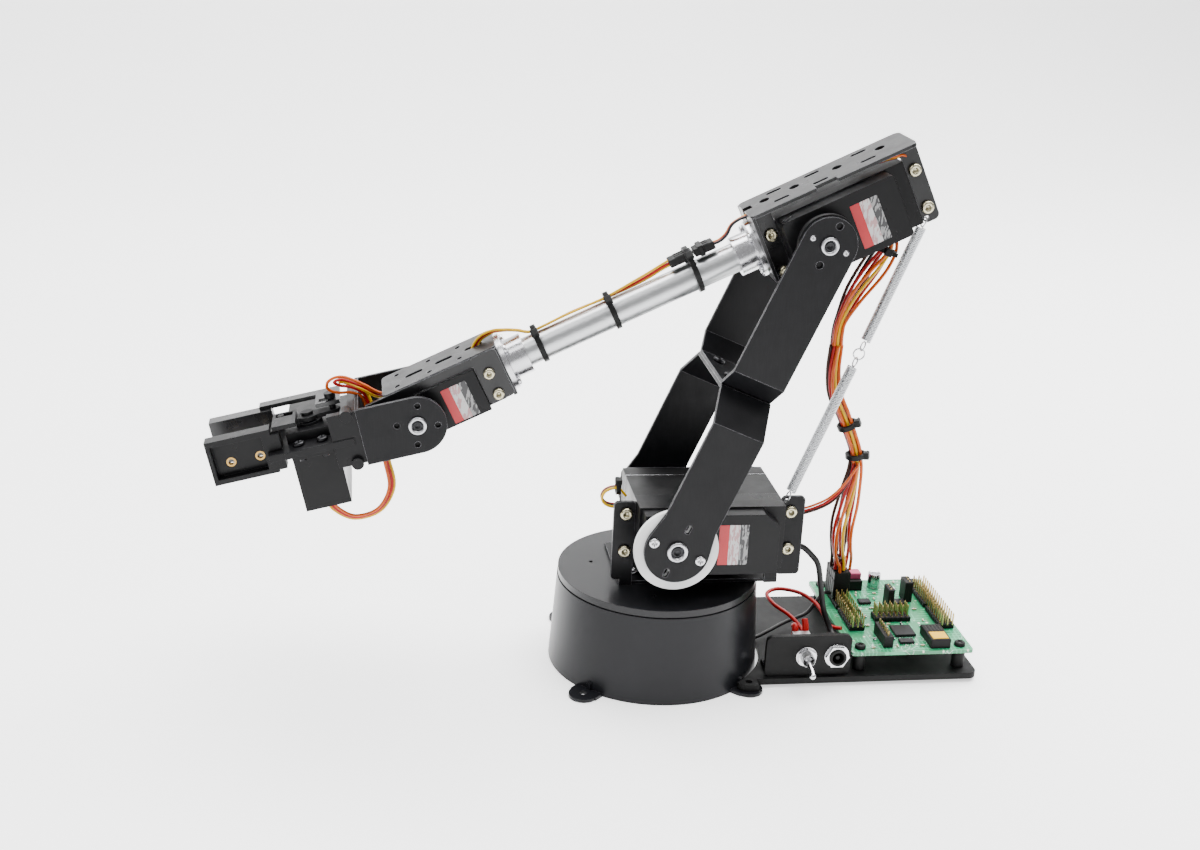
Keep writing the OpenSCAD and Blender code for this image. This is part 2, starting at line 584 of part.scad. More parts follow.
// ---------- forearm (x along the forearm, z up from it) ----------
module elbow_bracket() color([0.07, 0.07, 0.08]) on_forearm() difference() {
  union() {
    translate([0, 0, top_plate_b - bracket_t]) linear_extrude(bracket_t) rrect([-52.4, -8], [hub_a1, 18], 3);
    box([hub_a1 - bracket_t, -9.5, -10.5], [hub_a1, 18, top_plate_b - 1]);
    yplate(mid_ear_y - bracket_t, mid_ear_y) rrect([14.8, -9.5], [hub_a1 - 0.2, top_plate_b - 0.4], 1.5);
    yplate(mid_ear_y - bracket_t, mid_ear_y) rrect([-52.4, -15.4], [-44.7, top_plate_b - 0.4], 2.5);
  }
  for (x = [18.3, -48.3], z = [-8.75, 8.75]) ycyl(x, z, 8, 20, 1.55);
  xcyl(arm_mid, tube_up, 20, 30, 4.5);
  for (y = [-9, 9], z = [-9, 9]) xcyl(arm_mid + y * 0.86, tube_up + z * 0.86, 20, 30, 1.55);
  box([20, 1.2, 15.6], [26, 5.8, 25]);
  ycyl(up_hook_a, up_hook_b, 8, 20, 1.1);
  // lightening holes and slots of the top plate
  for (x = [-40, -20, 0, 14]) zcyl(x, 3, 15, 25, 2.4);
  for (x = [-32, -10, 8]) for (y = [-3.4, 11])
    translate([0, 0, 15]) linear_extrude(10) slot2([x - 2.4, y], [x + 2.4, y], 1.3);
  box([-16, 14.6, 15], [-6, 19, 25]);
}

module elbow_servo_case() color([0.08, 0.08, 0.09]) on_forearm() difference() {
  box([mid_back, mid_bottom, -mid_w / 2], [mid_back + mid_l, 7, mid_w / 2]);
  for (x = [mid_back + 4, mid_back + mid_l - 4], z = [-10, 10]) ycyl(x, z, -23, -20, 1.6);
}

module elbow_gearbox() color([0.1, 0.1, 0.11]) on_forearm() difference() {
  union() {
    box([mid_back, 7, -mid_w / 2], [mid_back + mid_l, 15, mid_w / 2]);
    box([-52.2, 9.9, -13], [22.2, mid_ear_y - bracket_t - 0.02, 13]);
    yplate(15, mid_top) rrect([-37, -mid_w / 2 + 0.4], [14.2, mid_w / 2 - 0.4], 2);
    ycyl(0, 0, mid_top, mid_top + 0.6, 8);
  }
  ycyl(0, 0, 12, 30, 3 + run);
  for (x = [18.3, -48.3], z = [-8.75, 8.75]) ycyl(x, z, 8, 14, 1.55);
}

module forearm_tube() color([0.78, 0.79, 0.8]) on_forearm() difference() {
  xcyl(arm_mid, tube_up, hub_a1 + 2.2, hub_a2 - 2.2, tube_r);
  xcyl(arm_mid, tube_up, hub_a1, hub_a2, tube_r - 1.2);
}

module tube_hubs() color([0.8, 0.8, 0.82]) on_forearm() difference() {
  union() {
    xcyl(arm_mid, tube_up, hub_a1, hub_a1 + 2.2, hub_r);
    xcyl(arm_mid, tube_up, hub_a1 + 2.2, hub_a1 + 10.5, 8.8);
    xcyl(arm_mid, tube_up, hub_a2 - 2.2, hub_a2, hub_r);
    xcyl(arm_mid, tube_up, hub_a2 - 10.5, hub_a2 - 2.2, 8.8);
  }
  xcyl(arm_mid, tube_up, hub_a1 + 2.2, hub_a2 - 2.2, tube_r);
  for (x = [hub_a1 - 1, hub_a2 - 4]) {
    xcyl(arm_mid, tube_up, x, x + 5, 4.5);
    for (y = [-9, 9], z = [-9, 9]) xcyl(arm_mid + y * 0.86, tube_up + z * 0.86, x, x + 5, 1.55);
  }
}

module wrist_bracket() color([0.07, 0.07, 0.08]) on_wrist() difference() {
  union() {
    translate([0, 0, wrist_plate_b - bracket_t]) linear_extrude(bracket_t) rrect([-43.4, -10], [9, 15], 2.5);
    box([-43.4, -10, -9], [-43.4 + bracket_t, 15, wrist_plate_b - 1]);
    yplate(std_ear_y - bracket_t, std_ear_y) rrect([-42.6, -8.2], [-30.9, wrist_plate_b - 0.4], 2);
    yplate(std_ear_y - bracket_t, std_ear_y) rrect([10.3, -8.4], [17.2, 8.4], 2);
    box([-31.5, std_ear_y - bracket_t, 10.2], [17.2, std_ear_y, wrist_plate_b - 0.4]);
    box([10.3, std_ear_y - bracket_t, 5], [17.2, std_ear_y, 12]);
  }
  for (x = [-36, 13.5], z = [-5, 5]) ycyl(x, z, 8, 20, 1.55);
  xcyl(arm_mid, tube_up, -50, -38, 4.5);
  for (y = [-9, 9], z = [-9, 9]) xcyl(arm_mid + y * 0.86, tube_up + z * 0.86, -50, -38, 1.55);
  for (x = [-34, -20, -6]) translate([0, 0, 10]) linear_extrude(8) slot2([x - 2.6, 3], [x + 2.6, 3], 1.6);
  for (x = [-27, -13, 2]) for (y = [-5, 10]) zcyl(x, y, 10, 18, 1.3);
}

module wrist_servo() color([0.08, 0.08, 0.09]) on_wrist() difference() {
  union() {
    box([-30.6, std_bottom, -std_w / 2], [10, 17.4, std_w / 2]);
    box([-38.2, 11.8, -9], [17.2, 14.3 - 0.02, 9]);
    ycyl(0, 0, 17.4, std_top, 6.5);
  }
  ycyl(0, 0, 10, 25, 3 + run);
  for (x = [-36, 13.5], z = [-5, 5]) ycyl(x, z, 8, 16, 1.55);
}

module forearm_screws() color([0.72, 0.66, 0.45]) on_forearm() {
  for (x = [18.3, -48.3], z = [-8.75, 8.75]) {
    yscrew(x, mid_ear_y, z, 8);
    difference() { ycyl(x, z, 7.2, 9.88, 2.7); ycyl(x, z, 6, 10, 1.47); }
  }
  for (x = [-36, 13.5], z = [-5, 5]) {
    yscrew(forearm_length + x, std_ear_y, z, 7.6, hr = x < 0 ? 2.5 : 2.2, hh = x < 0 ? 1.9 : 1.2);
    difference() {
      ycyl(forearm_length + x, z, 9.4, 11.78, 2.2);
      ycyl(forearm_length + x, z, 9, 12, 1.47);
    }
  }
  for (y = [-9, 9], z = [-9, 9]) {
    xscrew(hub_a1 + 2.2, arm_mid + y * 0.86, tube_up + z * 0.86, 3.8, -1, hr = 1.9);
    xscrew(hub_a2 - 2.2, arm_mid + y * 0.86, tube_up + z * 0.86, 3.8, 1, hr = 1.9);
  }
}

// bearing plates screwed to the undersides of the elbow and wrist servos
module forearm_idlers() color([0.1, 0.1, 0.1]) on_forearm() {
  difference() {
    yplate(mid_bottom - 1.6, mid_bottom) rrect([-14, -11], [13, 11], 3);
    ycyl(0, 0, mid_bottom - 3, mid_bottom + 1, 3 + run);
  }
  difference() {
    yplate(std_bottom - 1.2, std_bottom) rrect([forearm_length - 9, -8], [forearm_length + 9, 8], 3);
    ycyl(forearm_length, 0, std_bottom - 3, std_bottom + 1, 2.5 + run);
  }
}

// cable ties: around tube and wires, around the wires under the elbow servo
module tie_x(a, up = 1.2, r_in = 7.65, w = 2.6) difference() {
  union() {
    xcyl(arm_mid, tube_up + up, a, a + w, r_in + 0.85);
    box([a - 0.6, arm_mid + r_in - 2, tube_up + up + 4],
      [a + w + 0.6, arm_mid + r_in + 1.8, tube_up + up + 8]);
  }
  xcyl(arm_mid, tube_up + up, a - 2, a + w + 2, r_in);
}
module tube_ties() color([0.05, 0.05, 0.05]) {
  on_forearm() {
    tie_x(52, 3.1, 9.6);
    tie_x(91);
    tie_x(125.4);
  }
  translate([-91.3, 5, 197.2]) rotate([0, -20, 0]) difference() {
    union() { zcyl(0, 0, -1.4, 1.4, 5.2); box([-2.2, 3.6, -2], [2.2, 7.4, 2]); }
    zcyl(0, 0, -3, 3, 4.2);
  }
}

// wires held along the top of the tube from the wrist to the elbow
module forearm_wires() color([0.8, 0.6, 0.1]) on_forearm()
  cord([[forearm_length - 33.5, 3, 10.6], [forearm_length - 34.4, 3, 14],
    [forearm_length - 38.4, 3, 16.8],
    [forearm_length - 44, 3.1, 17.4], [forearm_length - 49, 3.2, 15.8],
    [133.2, 3.2, 13.2], [128.6, 3.25, 10.3], [122, arm_mid, 10.1],
    [108, arm_mid, 10.6], [92, arm_mid, 10.2], [76, arm_mid, 11], [66, arm_mid, 12.2], [62.2, arm_mid, 12.6]],
    1.1, [0, 1, 0]);

module lead_plug() color([0.05, 0.05, 0.05]) on_forearm() {
  box([41, arm_mid - 3.6, 10.8], [62, arm_mid + 3.6, 14.4]);
  box([46, arm_mid - 4.4, 10.2], [48.6, arm_mid + 4.4, 15.2]);
  cord([[41.2, arm_mid, 12.6], [38, arm_mid, 12.4], [34.4, arm_mid, 13.8], [31, 3.4, 16.6], [27, 3.4, 17.6],
    [22, 3.5, 17.5], [17, 3.4, 16.9], [10, 3, 16.6]], 1.1, [0, 1, 0]);
}

// ---------- hand (x along the hand, z up from it) ----------
module wrist_horn() color([0.08, 0.08, 0.08]) on_hand() difference() {
  union() {
    ycyl(0, 0, near_hand - 3.7, near_hand - sheet_t, 10);
    ycyl(0, 0, std_top + 0.4, near_hand - 3.7, 5);
    ycyl(0, 0, 12, std_top + 0.4, 3);
  }
  ycyl(0, 0, std_top, near_hand, 1.7);
}

module hand_bracket() color([0.06, 0.06, 0.07]) on_hand() difference() {
  union() {
    for (y = [near_hand - sheet_t, far_hand]) {
      ycyl(0, 0, y, y + sheet_t, 12.5);
      box([0, y, -12.5], [web_a, y + sheet_t, 12.5]);
    }
    box([web_a - sheet_t, far_hand, -12.5], [web_a, near_hand, 12.5]);
  }
  for (y = [near_hand - 3, far_hand - 1]) {
    ycyl(0, 0, y, y + 4, 3.4);
    for (a = [12 : 90 : 282]) ycyl(8.6 * cos(a), 8.6 * sin(a), y, y + 4, 1.3);
  }
  xcyl(arm_mid, 0, web_a - 3, web_a + 1, 5);
  for (y = [-11, 17.5], z = [-8, 8]) xcyl(y, z, web_a - 3, web_a + 1, 1.55);
}

module hand_pivots() color([0.75, 0.75, 0.77]) on_hand() {
  difference() {
    union() {
      ycyl(0, 0, near_hand, near_hand + 1.4, 3.9);
      ycyl(0, 0, near_hand - sheet_t, near_hand, 3.3);
    }
    ycyl(0, 0, near_hand + 0.4, near_hand + 3, 2.3);
  }
  ycyl(0, 0, std_top, near_hand - sheet_t, 1.65);
  ycyl(0, 0, far_hand, std_bottom - 0.1, 2.5);
  ycyl(0, 0, far_hand - 1.2, far_hand, 5);
}

module gripper_frame() color([0.09, 0.09, 0.1]) on_hand() difference() {
  union() {
    box([web_a, -17, -11.5], [web_a + 3.5, 24, 11.8]);
    // near cheek with its two clamp bosses
    box([web_a + 3.5, 20, -11.5], [36.2, 24, 11.8]);
    for (z = [-10.6, 10.9]) ycyl(28, z, 19, 26.4, 2.6);
    box([web_a + 3.5, -17, -11.5], [35.2, -13, deck_b]);
    // deck that carries the gripper servo, and its front rail
    box([web_a + 3, -34.5, deck_b], [jaw_a - 1, 2 * arm_mid + 18, deck_b + deck_t]);
    box([jaw_a - 1.2, arm_mid - 20.5, deck_b], [rail_a, arm_mid + 20.5, deck_b + deck_t]);
  }
  box([crank_a - std_w / 2 - gap, -27.1, deck_b - 1], [crank_a + std_w / 2 + gap, 13.9, deck_b + deck_t + 1]);
  for (x = [-5, 5], y = [-31.3, 18.2]) zcyl(crank_a + x, y, deck_b - 1, deck_b + deck_t + 1, 1.55);
  xcyl(arm_mid, 0, web_a - 1, web_a + 5, 5);
  for (y = [-11, 17.5], z = [-8, 8]) xcyl(y, z, web_a - 1, web_a + 5, 1.5);
}

module gripper_servo() color([0.08, 0.08, 0.09]) on_hand() difference() {
  union() {
    box([crank_a - std_w / 2, -26.8, -31.6], [crank_a + std_w / 2, 13.8, 4.6]);
    box([crank_a - 9, -34.2, -5], [crank_a + 9, 21.2, deck_b - 0.02]);
    zcyl(crank_a, arm_mid, 4.6, 5.8, 5.8);
  }
  zcyl(crank_a, arm_mid, 0, 7, 3 + run);
  for (x = [-5, 5], y = [-31.3, 18.2]) zcyl(crank_a + x, y, -6, -2, 1.55);
}

module hand_screws() color([0.15, 0.15, 0.16]) on_hand() {
  for (x = [-5, 5], y = [-31.3, 18.2]) zscrew(crank_a + x, y, deck_b + deck_t, 7, hr = 2.5, hh = 1.6);
  for (y = [-11, 17.5], z = [-8, 8]) xscrew(web_a - sheet_t, y, z, 4.6, 1, hr = 2.4, hh = 1.2);
}

// two-armed crank on the gripper servo with a pin at each end
module gripper_crank() color([0.12, 0.12, 0.12]) on_hand()
  translate([crank_a, arm_mid, 0]) rotate(crank_phi) {
    translate([0, 0, 6.4]) linear_extrude(1.8) {
      translate([-crank_r, -3.2]) square([2 * crank_r, 6.4]);
      for (s = [-1, 1]) translate([s * crank_r, 0]) circle(3.2);
      circle(5);
    }
    zcyl(0, 0, 0.6, 6.4, 3);
    zcyl(0, 0, 8.2, 9.6, 2.6);
    zcyl(crank_r, 0, 8.2, 10.5, 1.4);
    zcyl(-crank_r, 0, 8.2, 15, 1.4);
    zcyl(-crank_r, 0, 13, 15.4, 2.4);
  }

// jaw drawn for the horn side: v is measured outward from the middle plane
module jaw_body(side) {
  y0 = side > 0 ? arm_mid + jaw_in : arm_mid - jaw_in - jaw_t;
  y1 = y0 + jaw_t;
  out0 = side > 0 ? y1 - 4.2 : y0 - 1;
  difference() {
    union() {
      box([jaw_a + 3.4, y0, jaw_b], [jaw_a + jaw_l, y1, jaw_b + jaw_h]);
      box([jaw_a, y0, jaw_b + 1], [jaw_a + 4, y1, side > 0 ? 7.9 : 5.9]);
    }
    // rail slot with running clearance
    box([jaw_a - 1, y0 - 1, deck_b - gap], [rail_a + gap, y1 + 1, deck_b + deck_t + gap]);
    // recess in the outer face
    box([jaw_a + 7.5, out0, jaw_b + 2.2], [jaw_a + jaw_l - 1.8, out0 + 5.2, jaw_b + jaw_h - 2.4]);
    for (x = [jaw_a + 10.2, jaw_a + 22.6]) ycyl(x, insert_b, y0 - 1, y1 + 1, 2.1);
  }
}

module jaw_near() color([0.09, 0.09, 0.1]) on_hand() {
  jaw_body(1);
  // arm with the slot the front crank pin runs in
  difference() {
    union() {
      box([50, arm_mid + jaw_in - jaw_centre - 3.5, 8.6], [60, arm_mid + jaw_in + jaw_t - 2, 10.4]);
      box([jaw_a, arm_mid + jaw_in, 7.8], [61.2, arm_mid + jaw_in + jaw_t - 2, 8.7]);
    }
    box([51.4, arm_mid + jaw_in - jaw_centre - 2, 8], [58.6, arm_mid + jaw_in - jaw_centre + 2, 11]);
  }
}

module jaw_far() color([0.11, 0.11, 0.12]) on_hand() {
  jaw_body(-1);
  difference() {
    union() {
      box([30.6, arm_mid - jaw_in - 7, 10.8], [66, arm_mid - jaw_in - 1, 12.6]);
      box([jaw_a + 3.4, arm_mid - jaw_in - 7, 10.4], [66, arm_mid - jaw_in - 1, 11]);
      box([30.6, arm_mid - jaw_in - 7, 10.8], [41, arm_mid - jaw_in + jaw_centre + 3.7, 12.6]);
    }
    box([32.4, arm_mid - jaw_in + jaw_centre - 2, 10], [39.6, arm_mid - jaw_in + jaw_centre + 2, 13]);
  }
}

module insert_pair(y0, y1) for (x = [jaw_a + 10.2, jaw_a + 22.6]) difference() {
  ycyl(x, insert_b, y0, y1, 2.1);
  ycyl(x, insert_b, y0 - 1, y1 + 1, 1.25);
}
module inserts_near() color([0.75, 0.58, 0.25]) on_hand()
  insert_pair(arm_mid + jaw_in + 0.2, arm_mid + jaw_in + jaw_t - 4.2);
module inserts_far() color([0.75, 0.58, 0.25]) on_hand()
  insert_pair(arm_mid - jaw_in - jaw_t + 4.2, arm_mid - jaw_in - 0.2);

// ---------- springs ----------
// closed extension spring between the centres of its two hook eyes, p and q
module spring(p, q) {
  d = q - p;
  l = norm(d);
  translate(p) rotate([0, acos(d[2] / l), atan2(d[1], d[0])]) {
    difference() { zcyl(0, 0, 2.6, l - 2.6, spring_r); zcyl(0, 0, 2, l - 2, spring_r - 0.6); }
    for (z = [0, l]) translate([0, 0, z]) rotate([0, 90, 0])
      rotate_extrude() translate([eye_r, 0]) circle(0.3, $fn = 16);
  }
}
module lower_spring() color([0.8, 0.8, 0.82])
  spring(low_hook + eye_r * unit(ring_c - low_hook), ring_c - eye_gap * unit(ring_c - low_hook));
module upper_spring() color([0.8, 0.8, 0.82])
  spring(ring_c + eye_gap * unit(up_hook - ring_c), up_hook - eye_r * unit(up_hook - ring_c));
module spring_ring() color([0.8, 0.8, 0.82]) translate(ring_c) rotate([90, 0, 0])
  rotate_extrude() translate([2.5, 0]) circle(0.35, $fn = 16);

// ---------- wires ----------
module loom_top() color([0.75, 0.45, 0.1])
  cord([[-92.4, 5, 202.4], [-91.4, 5, 197.4], [-87, 5, 190], [-79.6, 5, 178], [-74.6, 5, 166],
    [-73.5, 5, 160], [-73.4, 5, 154.4]], 3.2);
module loom_mid() color([0.75, 0.45, 0.1])
  cord([[-73.4, 5, 153.6], [-73.2, 5, 142], [-75, 5, 131], [-80, 5, 121], [-85, 5, 110], [-87.4, 5, 103.5],
    [-87.9, 5, 99.3]], 3.2);
module loom_ties() color([0.05, 0.05, 0.05])
  for (p = [[-82.3, 116, 24.5], [-87.7, 101.4, 9]])
  translate([p[0], 5, p[1]]) rotate([0, p[2], 0]) difference() {
    union() { zcyl(0, 0, -1.3, 1.3, 4.7); box([3.6, -2.2, -2], [7.8, 2.2, 2]); }
    zcyl(0, 0, -3, 3, 3.75);
  }
module loom_low() color([0.75, 0.45, 0.1])
  cord([[-88, 5, 98.2], [-88, 5, 92], [-87, 3.4, 78], [-87, -1, 65], [-89.6, -8, 53], [-93, -15.6, 44],
    [-95.2, -20.6, 38.4], [-95.6, -22, 33.6]], 2.6, [1, 0, 0.2]);
module shoulder_lead() color([0.7, 0.4, 0.1])
  cord([[-87.5, 9.6, 96], [-82.6, 10, 88.6], [-77, 10, 82], [-70, 10, 78.2], [-62.2, 9.4, 75.2]],
    1.4, [0, 1, 0]);
module board_lead() color([0.05, 0.05, 0.05])
  cord([[-62.2, 8, 58.4], [-66.4, 8, 57.2], [-71, 8.2, 53], [-74.4, 8.4, 48], [-76.6, 8.8, 37],
    [-78.6, 10, 26], [-81.4, 14, 18], [-82, 20.2, 14.8]], 1.4, [0, 1, 0]);
module gripper_lead() color([0.75, 0.5, 0.1]) on_hand()
  cord([[crank_a + 1, 1.5, -32], [crank_a - 1, 1.6, -38], [37, 1.8, -44], [26, 2, -43], [18.4, 2.2, -34],
    [17.6, 2.4, -22], [18.2, 2.6, -10], [19, 2.8, 2], [19.6, 3, 9], [20.8, 3.2, 12.6], [24.6, 3.5, 15.8],
    [29, 4, 17.8], [31, 4.6, 20], [27, 5, 20.4], [20, 4.8, 15.6], [13.4, 4.4, 10], [6.4, 4, 10]],
    1.2, [0, 1, 0]);

base_shell();
base_servo();
base_screws();
electronics_plate();
standoffs();
circuit_board();
pin_headers();
board_chips();
loom_plugs();
switch_panel();
toggle_switch();
toggle_lever();
panel_nuts();
power_jack();
power_leads();
turret_horn();
turret_disc();
shoulder_bracket();
shoulder_servo_case();
shoulder_gearbox();
turret_screws();
shoulder_lead();
loom_ties();
shoulder_horn();
lower_fork();
upper_fork();
arm_screws();
arm_pivots();
elbow_horn();
spring_ring();
elbow_bracket();
elbow_servo_case();
elbow_gearbox();
forearm_tube();
tube_hubs();
wrist_bracket();
wrist_servo();
forearm_screws();
forearm_idlers();
tube_ties();
forearm_wires();
lead_plug();
wrist_horn();
hand_bracket();
hand_pivots();
gripper_frame();
gripper_servo();
hand_screws();
gripper_lead();
jaw_near();
jaw_far();
inserts_near();
inserts_far();
gripper_crank();
lower_spring();
upper_spring();
loom_top();
loom_mid();
loom_low();
board_lead();
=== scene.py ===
"""Desktop robot arm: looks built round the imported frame, in metres and in the row's own frame."""
import json
import math
from itertools import product
import bmesh
import bpy
from mathutils import Matrix, Vector, noise


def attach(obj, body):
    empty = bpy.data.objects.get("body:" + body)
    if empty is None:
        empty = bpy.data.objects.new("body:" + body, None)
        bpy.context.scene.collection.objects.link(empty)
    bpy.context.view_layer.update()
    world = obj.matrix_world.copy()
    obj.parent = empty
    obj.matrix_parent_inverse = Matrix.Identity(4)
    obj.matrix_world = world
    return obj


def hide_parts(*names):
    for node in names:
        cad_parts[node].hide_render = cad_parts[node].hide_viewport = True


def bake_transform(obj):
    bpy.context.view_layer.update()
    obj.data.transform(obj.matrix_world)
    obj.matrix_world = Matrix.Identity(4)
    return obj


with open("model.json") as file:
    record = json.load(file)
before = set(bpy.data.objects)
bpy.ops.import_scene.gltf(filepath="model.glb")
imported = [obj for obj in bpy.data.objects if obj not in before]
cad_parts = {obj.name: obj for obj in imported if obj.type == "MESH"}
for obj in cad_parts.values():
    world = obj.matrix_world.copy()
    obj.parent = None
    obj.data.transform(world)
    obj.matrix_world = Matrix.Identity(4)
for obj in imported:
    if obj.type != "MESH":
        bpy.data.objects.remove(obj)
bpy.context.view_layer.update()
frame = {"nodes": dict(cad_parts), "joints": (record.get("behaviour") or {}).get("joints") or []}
MM = 0.001
NODES = frame["nodes"]
JOINTS = {j["name"]: j for j in frame["joints"]}


# ---------- frames of the moving links, from the joints ----------
def joint_point(name):
    return Vector(JOINTS[name]["pos_m"])


SHOULDER, ELBOW, WRIST = (joint_point(n) for n in ("shoulder", "elbow", "wrist"))
CRANK_AXIS = Vector(JOINTS["crank_turn"]["axis"])
ARM_LEAN = math.atan2(SHOULDER.x - ELBOW.x, ELBOW.z - SHOULDER.z)
FOREARM_SLOPE = math.atan2(ELBOW.z - WRIST.z, WRIST.x - ELBOW.x)
HAND_SLOPE = math.atan2(CRANK_AXIS.x, CRANK_AXIS.z)
UPPER_LENGTH = (ELBOW - SHOULDER).length / MM
FOREARM_LENGTH = (WRIST - ELBOW).length / MM
ARM_MID = 3.25


def link(origin, slope):
    """Maps a link's own millimetres (x along it, z up from it) to metres in the row frame."""
    return Matrix.Translation(origin) @ Matrix.Rotation(slope, 4, "Y") @ Matrix.Scale(MM, 4)


ROW = Matrix.Scale(MM, 4)
TURRET = link(SHOULDER, 0)
UPPER = link(SHOULDER, -ARM_LEAN)
FOREARM = link(ELBOW, FOREARM_SLOPE)
WRIST_LINK = FOREARM @ Matrix.Translation((FOREARM_LENGTH, 0, 0))
HAND = link(WRIST, HAND_SLOPE)


# ---------- camera ----------
def make_camera():
    place = Vector((136.8, 654.1, 352.9)) * MM
    pitch, yaw, roll = (math.radians(a) for a in (19.76, -9.27, 2.87))
    ahead = Vector((math.sin(yaw) * math.cos(pitch), -math.cos(yaw) * math.cos(pitch), -math.sin(pitch)))
    right = ahead.cross(Vector((0, 0, 1))).normalized()
    up = right.cross(ahead)
    side = right * math.cos(roll) + up * math.sin(roll)
    top = up * math.cos(roll) - right * math.sin(roll)
    data = bpy.data.cameras.new("camera")
    data.sensor_width, data.lens = 36, 47.5
    data.clip_start, data.clip_end = 0.01, 50
    camera = bpy.data.objects.new("camera", data)
    bpy.context.collection.objects.link(camera)
    camera.matrix_world = Matrix.Translation(place) @ Matrix((side, top, -ahead)).transposed().to_4x4()
    bpy.context.scene.camera = camera


make_camera()


# ---------- materials ----------
class Graph:
    """A material's node tree with short calls for the nodes that the finishes share."""

    def __init__(self, name):
        self.material = bpy.data.materials.new(name)
        self.material.use_nodes = True
        tree = self.material.node_tree
        tree.nodes.clear()
        self.nodes, self.links = tree.nodes, tree.links
        self.shader = self.add("BsdfPrincipled")
        output = self.add("OutputMaterial")
        self.links.new(self.shader.outputs[0], output.inputs[0])
        self.place = self.add("TexCoord").outputs["Object"]

    def add(self, kind, **values):
        node = self.nodes.new("ShaderNode" + kind)
        for key, value in values.items():
            setattr(node, key, value)
        return node

    def join(self, source, node, socket):
        self.links.new(source, node.inputs[socket])

    def stretched(self, scale, turn=(0, 0, 0)):
        node = self.add("Mapping")
        node.inputs["Scale"].default_value = scale
        node.inputs["Rotation"].default_value = turn
        self.join(self.place, node, "Vector")
        return node.outputs[0]

    def noise(self, scale, detail=3, rough=0.55, place=None):
        node = self.add("TexNoise")
        node.inputs["Scale"].default_value = scale
        node.inputs["Detail"].default_value = detail
        node.inputs["Roughness"].default_value = rough
        self.join(place or self.place, node, "Vector")
        return node.outputs["Fac"]

    def cells(self, scale, feature="F1"):
        node = self.add("TexVoronoi", feature=feature)
        node.inputs["Scale"].default_value = scale
        self.join(self.place, node, "Vector")
        return node

    def ranged(self, source, low, high, to_low=0.0, to_high=1.0):
        node = self.add("MapRange")
        self.join(source, node, "Value")
        for socket, value in (("From Min", low), ("From Max", high), ("To Min", to_low), ("To Max", to_high)):
            node.inputs[socket].default_value = value
        return node.outputs[0]

    def math(self, operation, a, b):
        node = self.add("Math", operation=operation)
        for i, value in enumerate((a, b)):
            if isinstance(value, (int, float)):
                node.inputs[i].default_value = value
            else:
                self.links.new(value, node.inputs[i])
        return node.outputs[0]

    def mix(self, factor, a, b):
        node = self.add("Mix", data_type="RGBA")
        if isinstance(factor, (int, float)):
            node.inputs[0].default_value = factor
        else:
            self.links.new(factor, node.inputs[0])
        for socket, value in ((6, a), (7, b)):
            if isinstance(value, (tuple, list)):
                node.inputs[socket].default_value = (*value[:3], 1)
            else:
                self.links.new(value, node.inputs[socket])
        return node.outputs[2]

    def edges(self, radius=0.0004):
        """(rounded normal, mask that is 1 along sharp edges)."""
        bevel = self.add("Bevel", samples=4)
        bevel.inputs["Radius"].default_value = radius
        flat = self.add("NewGeometry").outputs["Normal"]
        dot = self.add("VectorMath", operation="DOT_PRODUCT")
        self.links.new(bevel.outputs[0], dot.inputs[0])
        self.links.new(flat, dot.inputs[1])
        return bevel.outputs[0], self.ranged(dot.outputs["Value"], 0.985, 0.88)

    def bump(self, height, distance, normal=None):
        node = self.add("Bump")
        node.inputs["Strength"].default_value = 1.0
        node.inputs["Distance"].default_value = distance
        self.join(height, node, "Height")
        if normal is not None:
            self.join(normal, node, "Normal")
        return node.outputs[0]

    def finish(self, colour, rough, normal=None, **values):
        shader = self.shader
        for socket, value in (("Base Color", colour), ("Roughness", rough)):
            if isinstance(value, (tuple, list)):
                shader.inputs[socket].default_value = (*value[:3], 1)
            elif isinstance(value, (int, float)):
                shader.inputs[socket].default_value = value
            else:
                self.links.new(value, shader.inputs[socket])
        if normal is not None:
            self.links.new(normal, shader.inputs["Normal"])
        for socket, value in values.items():
            shader.inputs[socket.replace("_", " ")].default_value = value
        return self.material


def shade(colour, factor):
    return tuple(min(1.0, c * factor) for c in colour[:3])


def moulded(name, colour, rough=0.42, grain=0.00002, grain_scale=2600, wear=0.3, gloss=0.16, calm=1.0):
    """Injection-moulded plastic: fine grain, mottling, rubbed edges; calm scales the dust and unevenness."""
    g = Graph(name)
    normal, mask = g.edges()
    tone = g.mix(g.ranged(g.noise(45), 0.3, 0.7), shade(colour, 0.86), shade(colour, 1.14))
    worn = g.math("MULTIPLY", mask, g.ranged(g.noise(260, 4), 0.42, 0.62, 0, wear))
    lighter = tuple(min(1.0, c * 1.5 + 0.02) for c in colour)
    tone = g.mix(worn, tone, lighter)
    dust = g.ranged(g.noise(1900, 1), 0.72, 0.78, 0, 0.3 * calm)
    tone = g.mix(dust, tone, tuple(min(1.0, c + 0.02) for c in colour))
    roughness = g.ranged(g.noise(90, 2), 0.3, 0.7, rough - 0.06 * calm, rough + 0.08 * calm)
    return g.finish(tone, roughness, g.bump(g.noise(grain_scale, 2), grain, normal), Specular_IOR_Level=gloss)


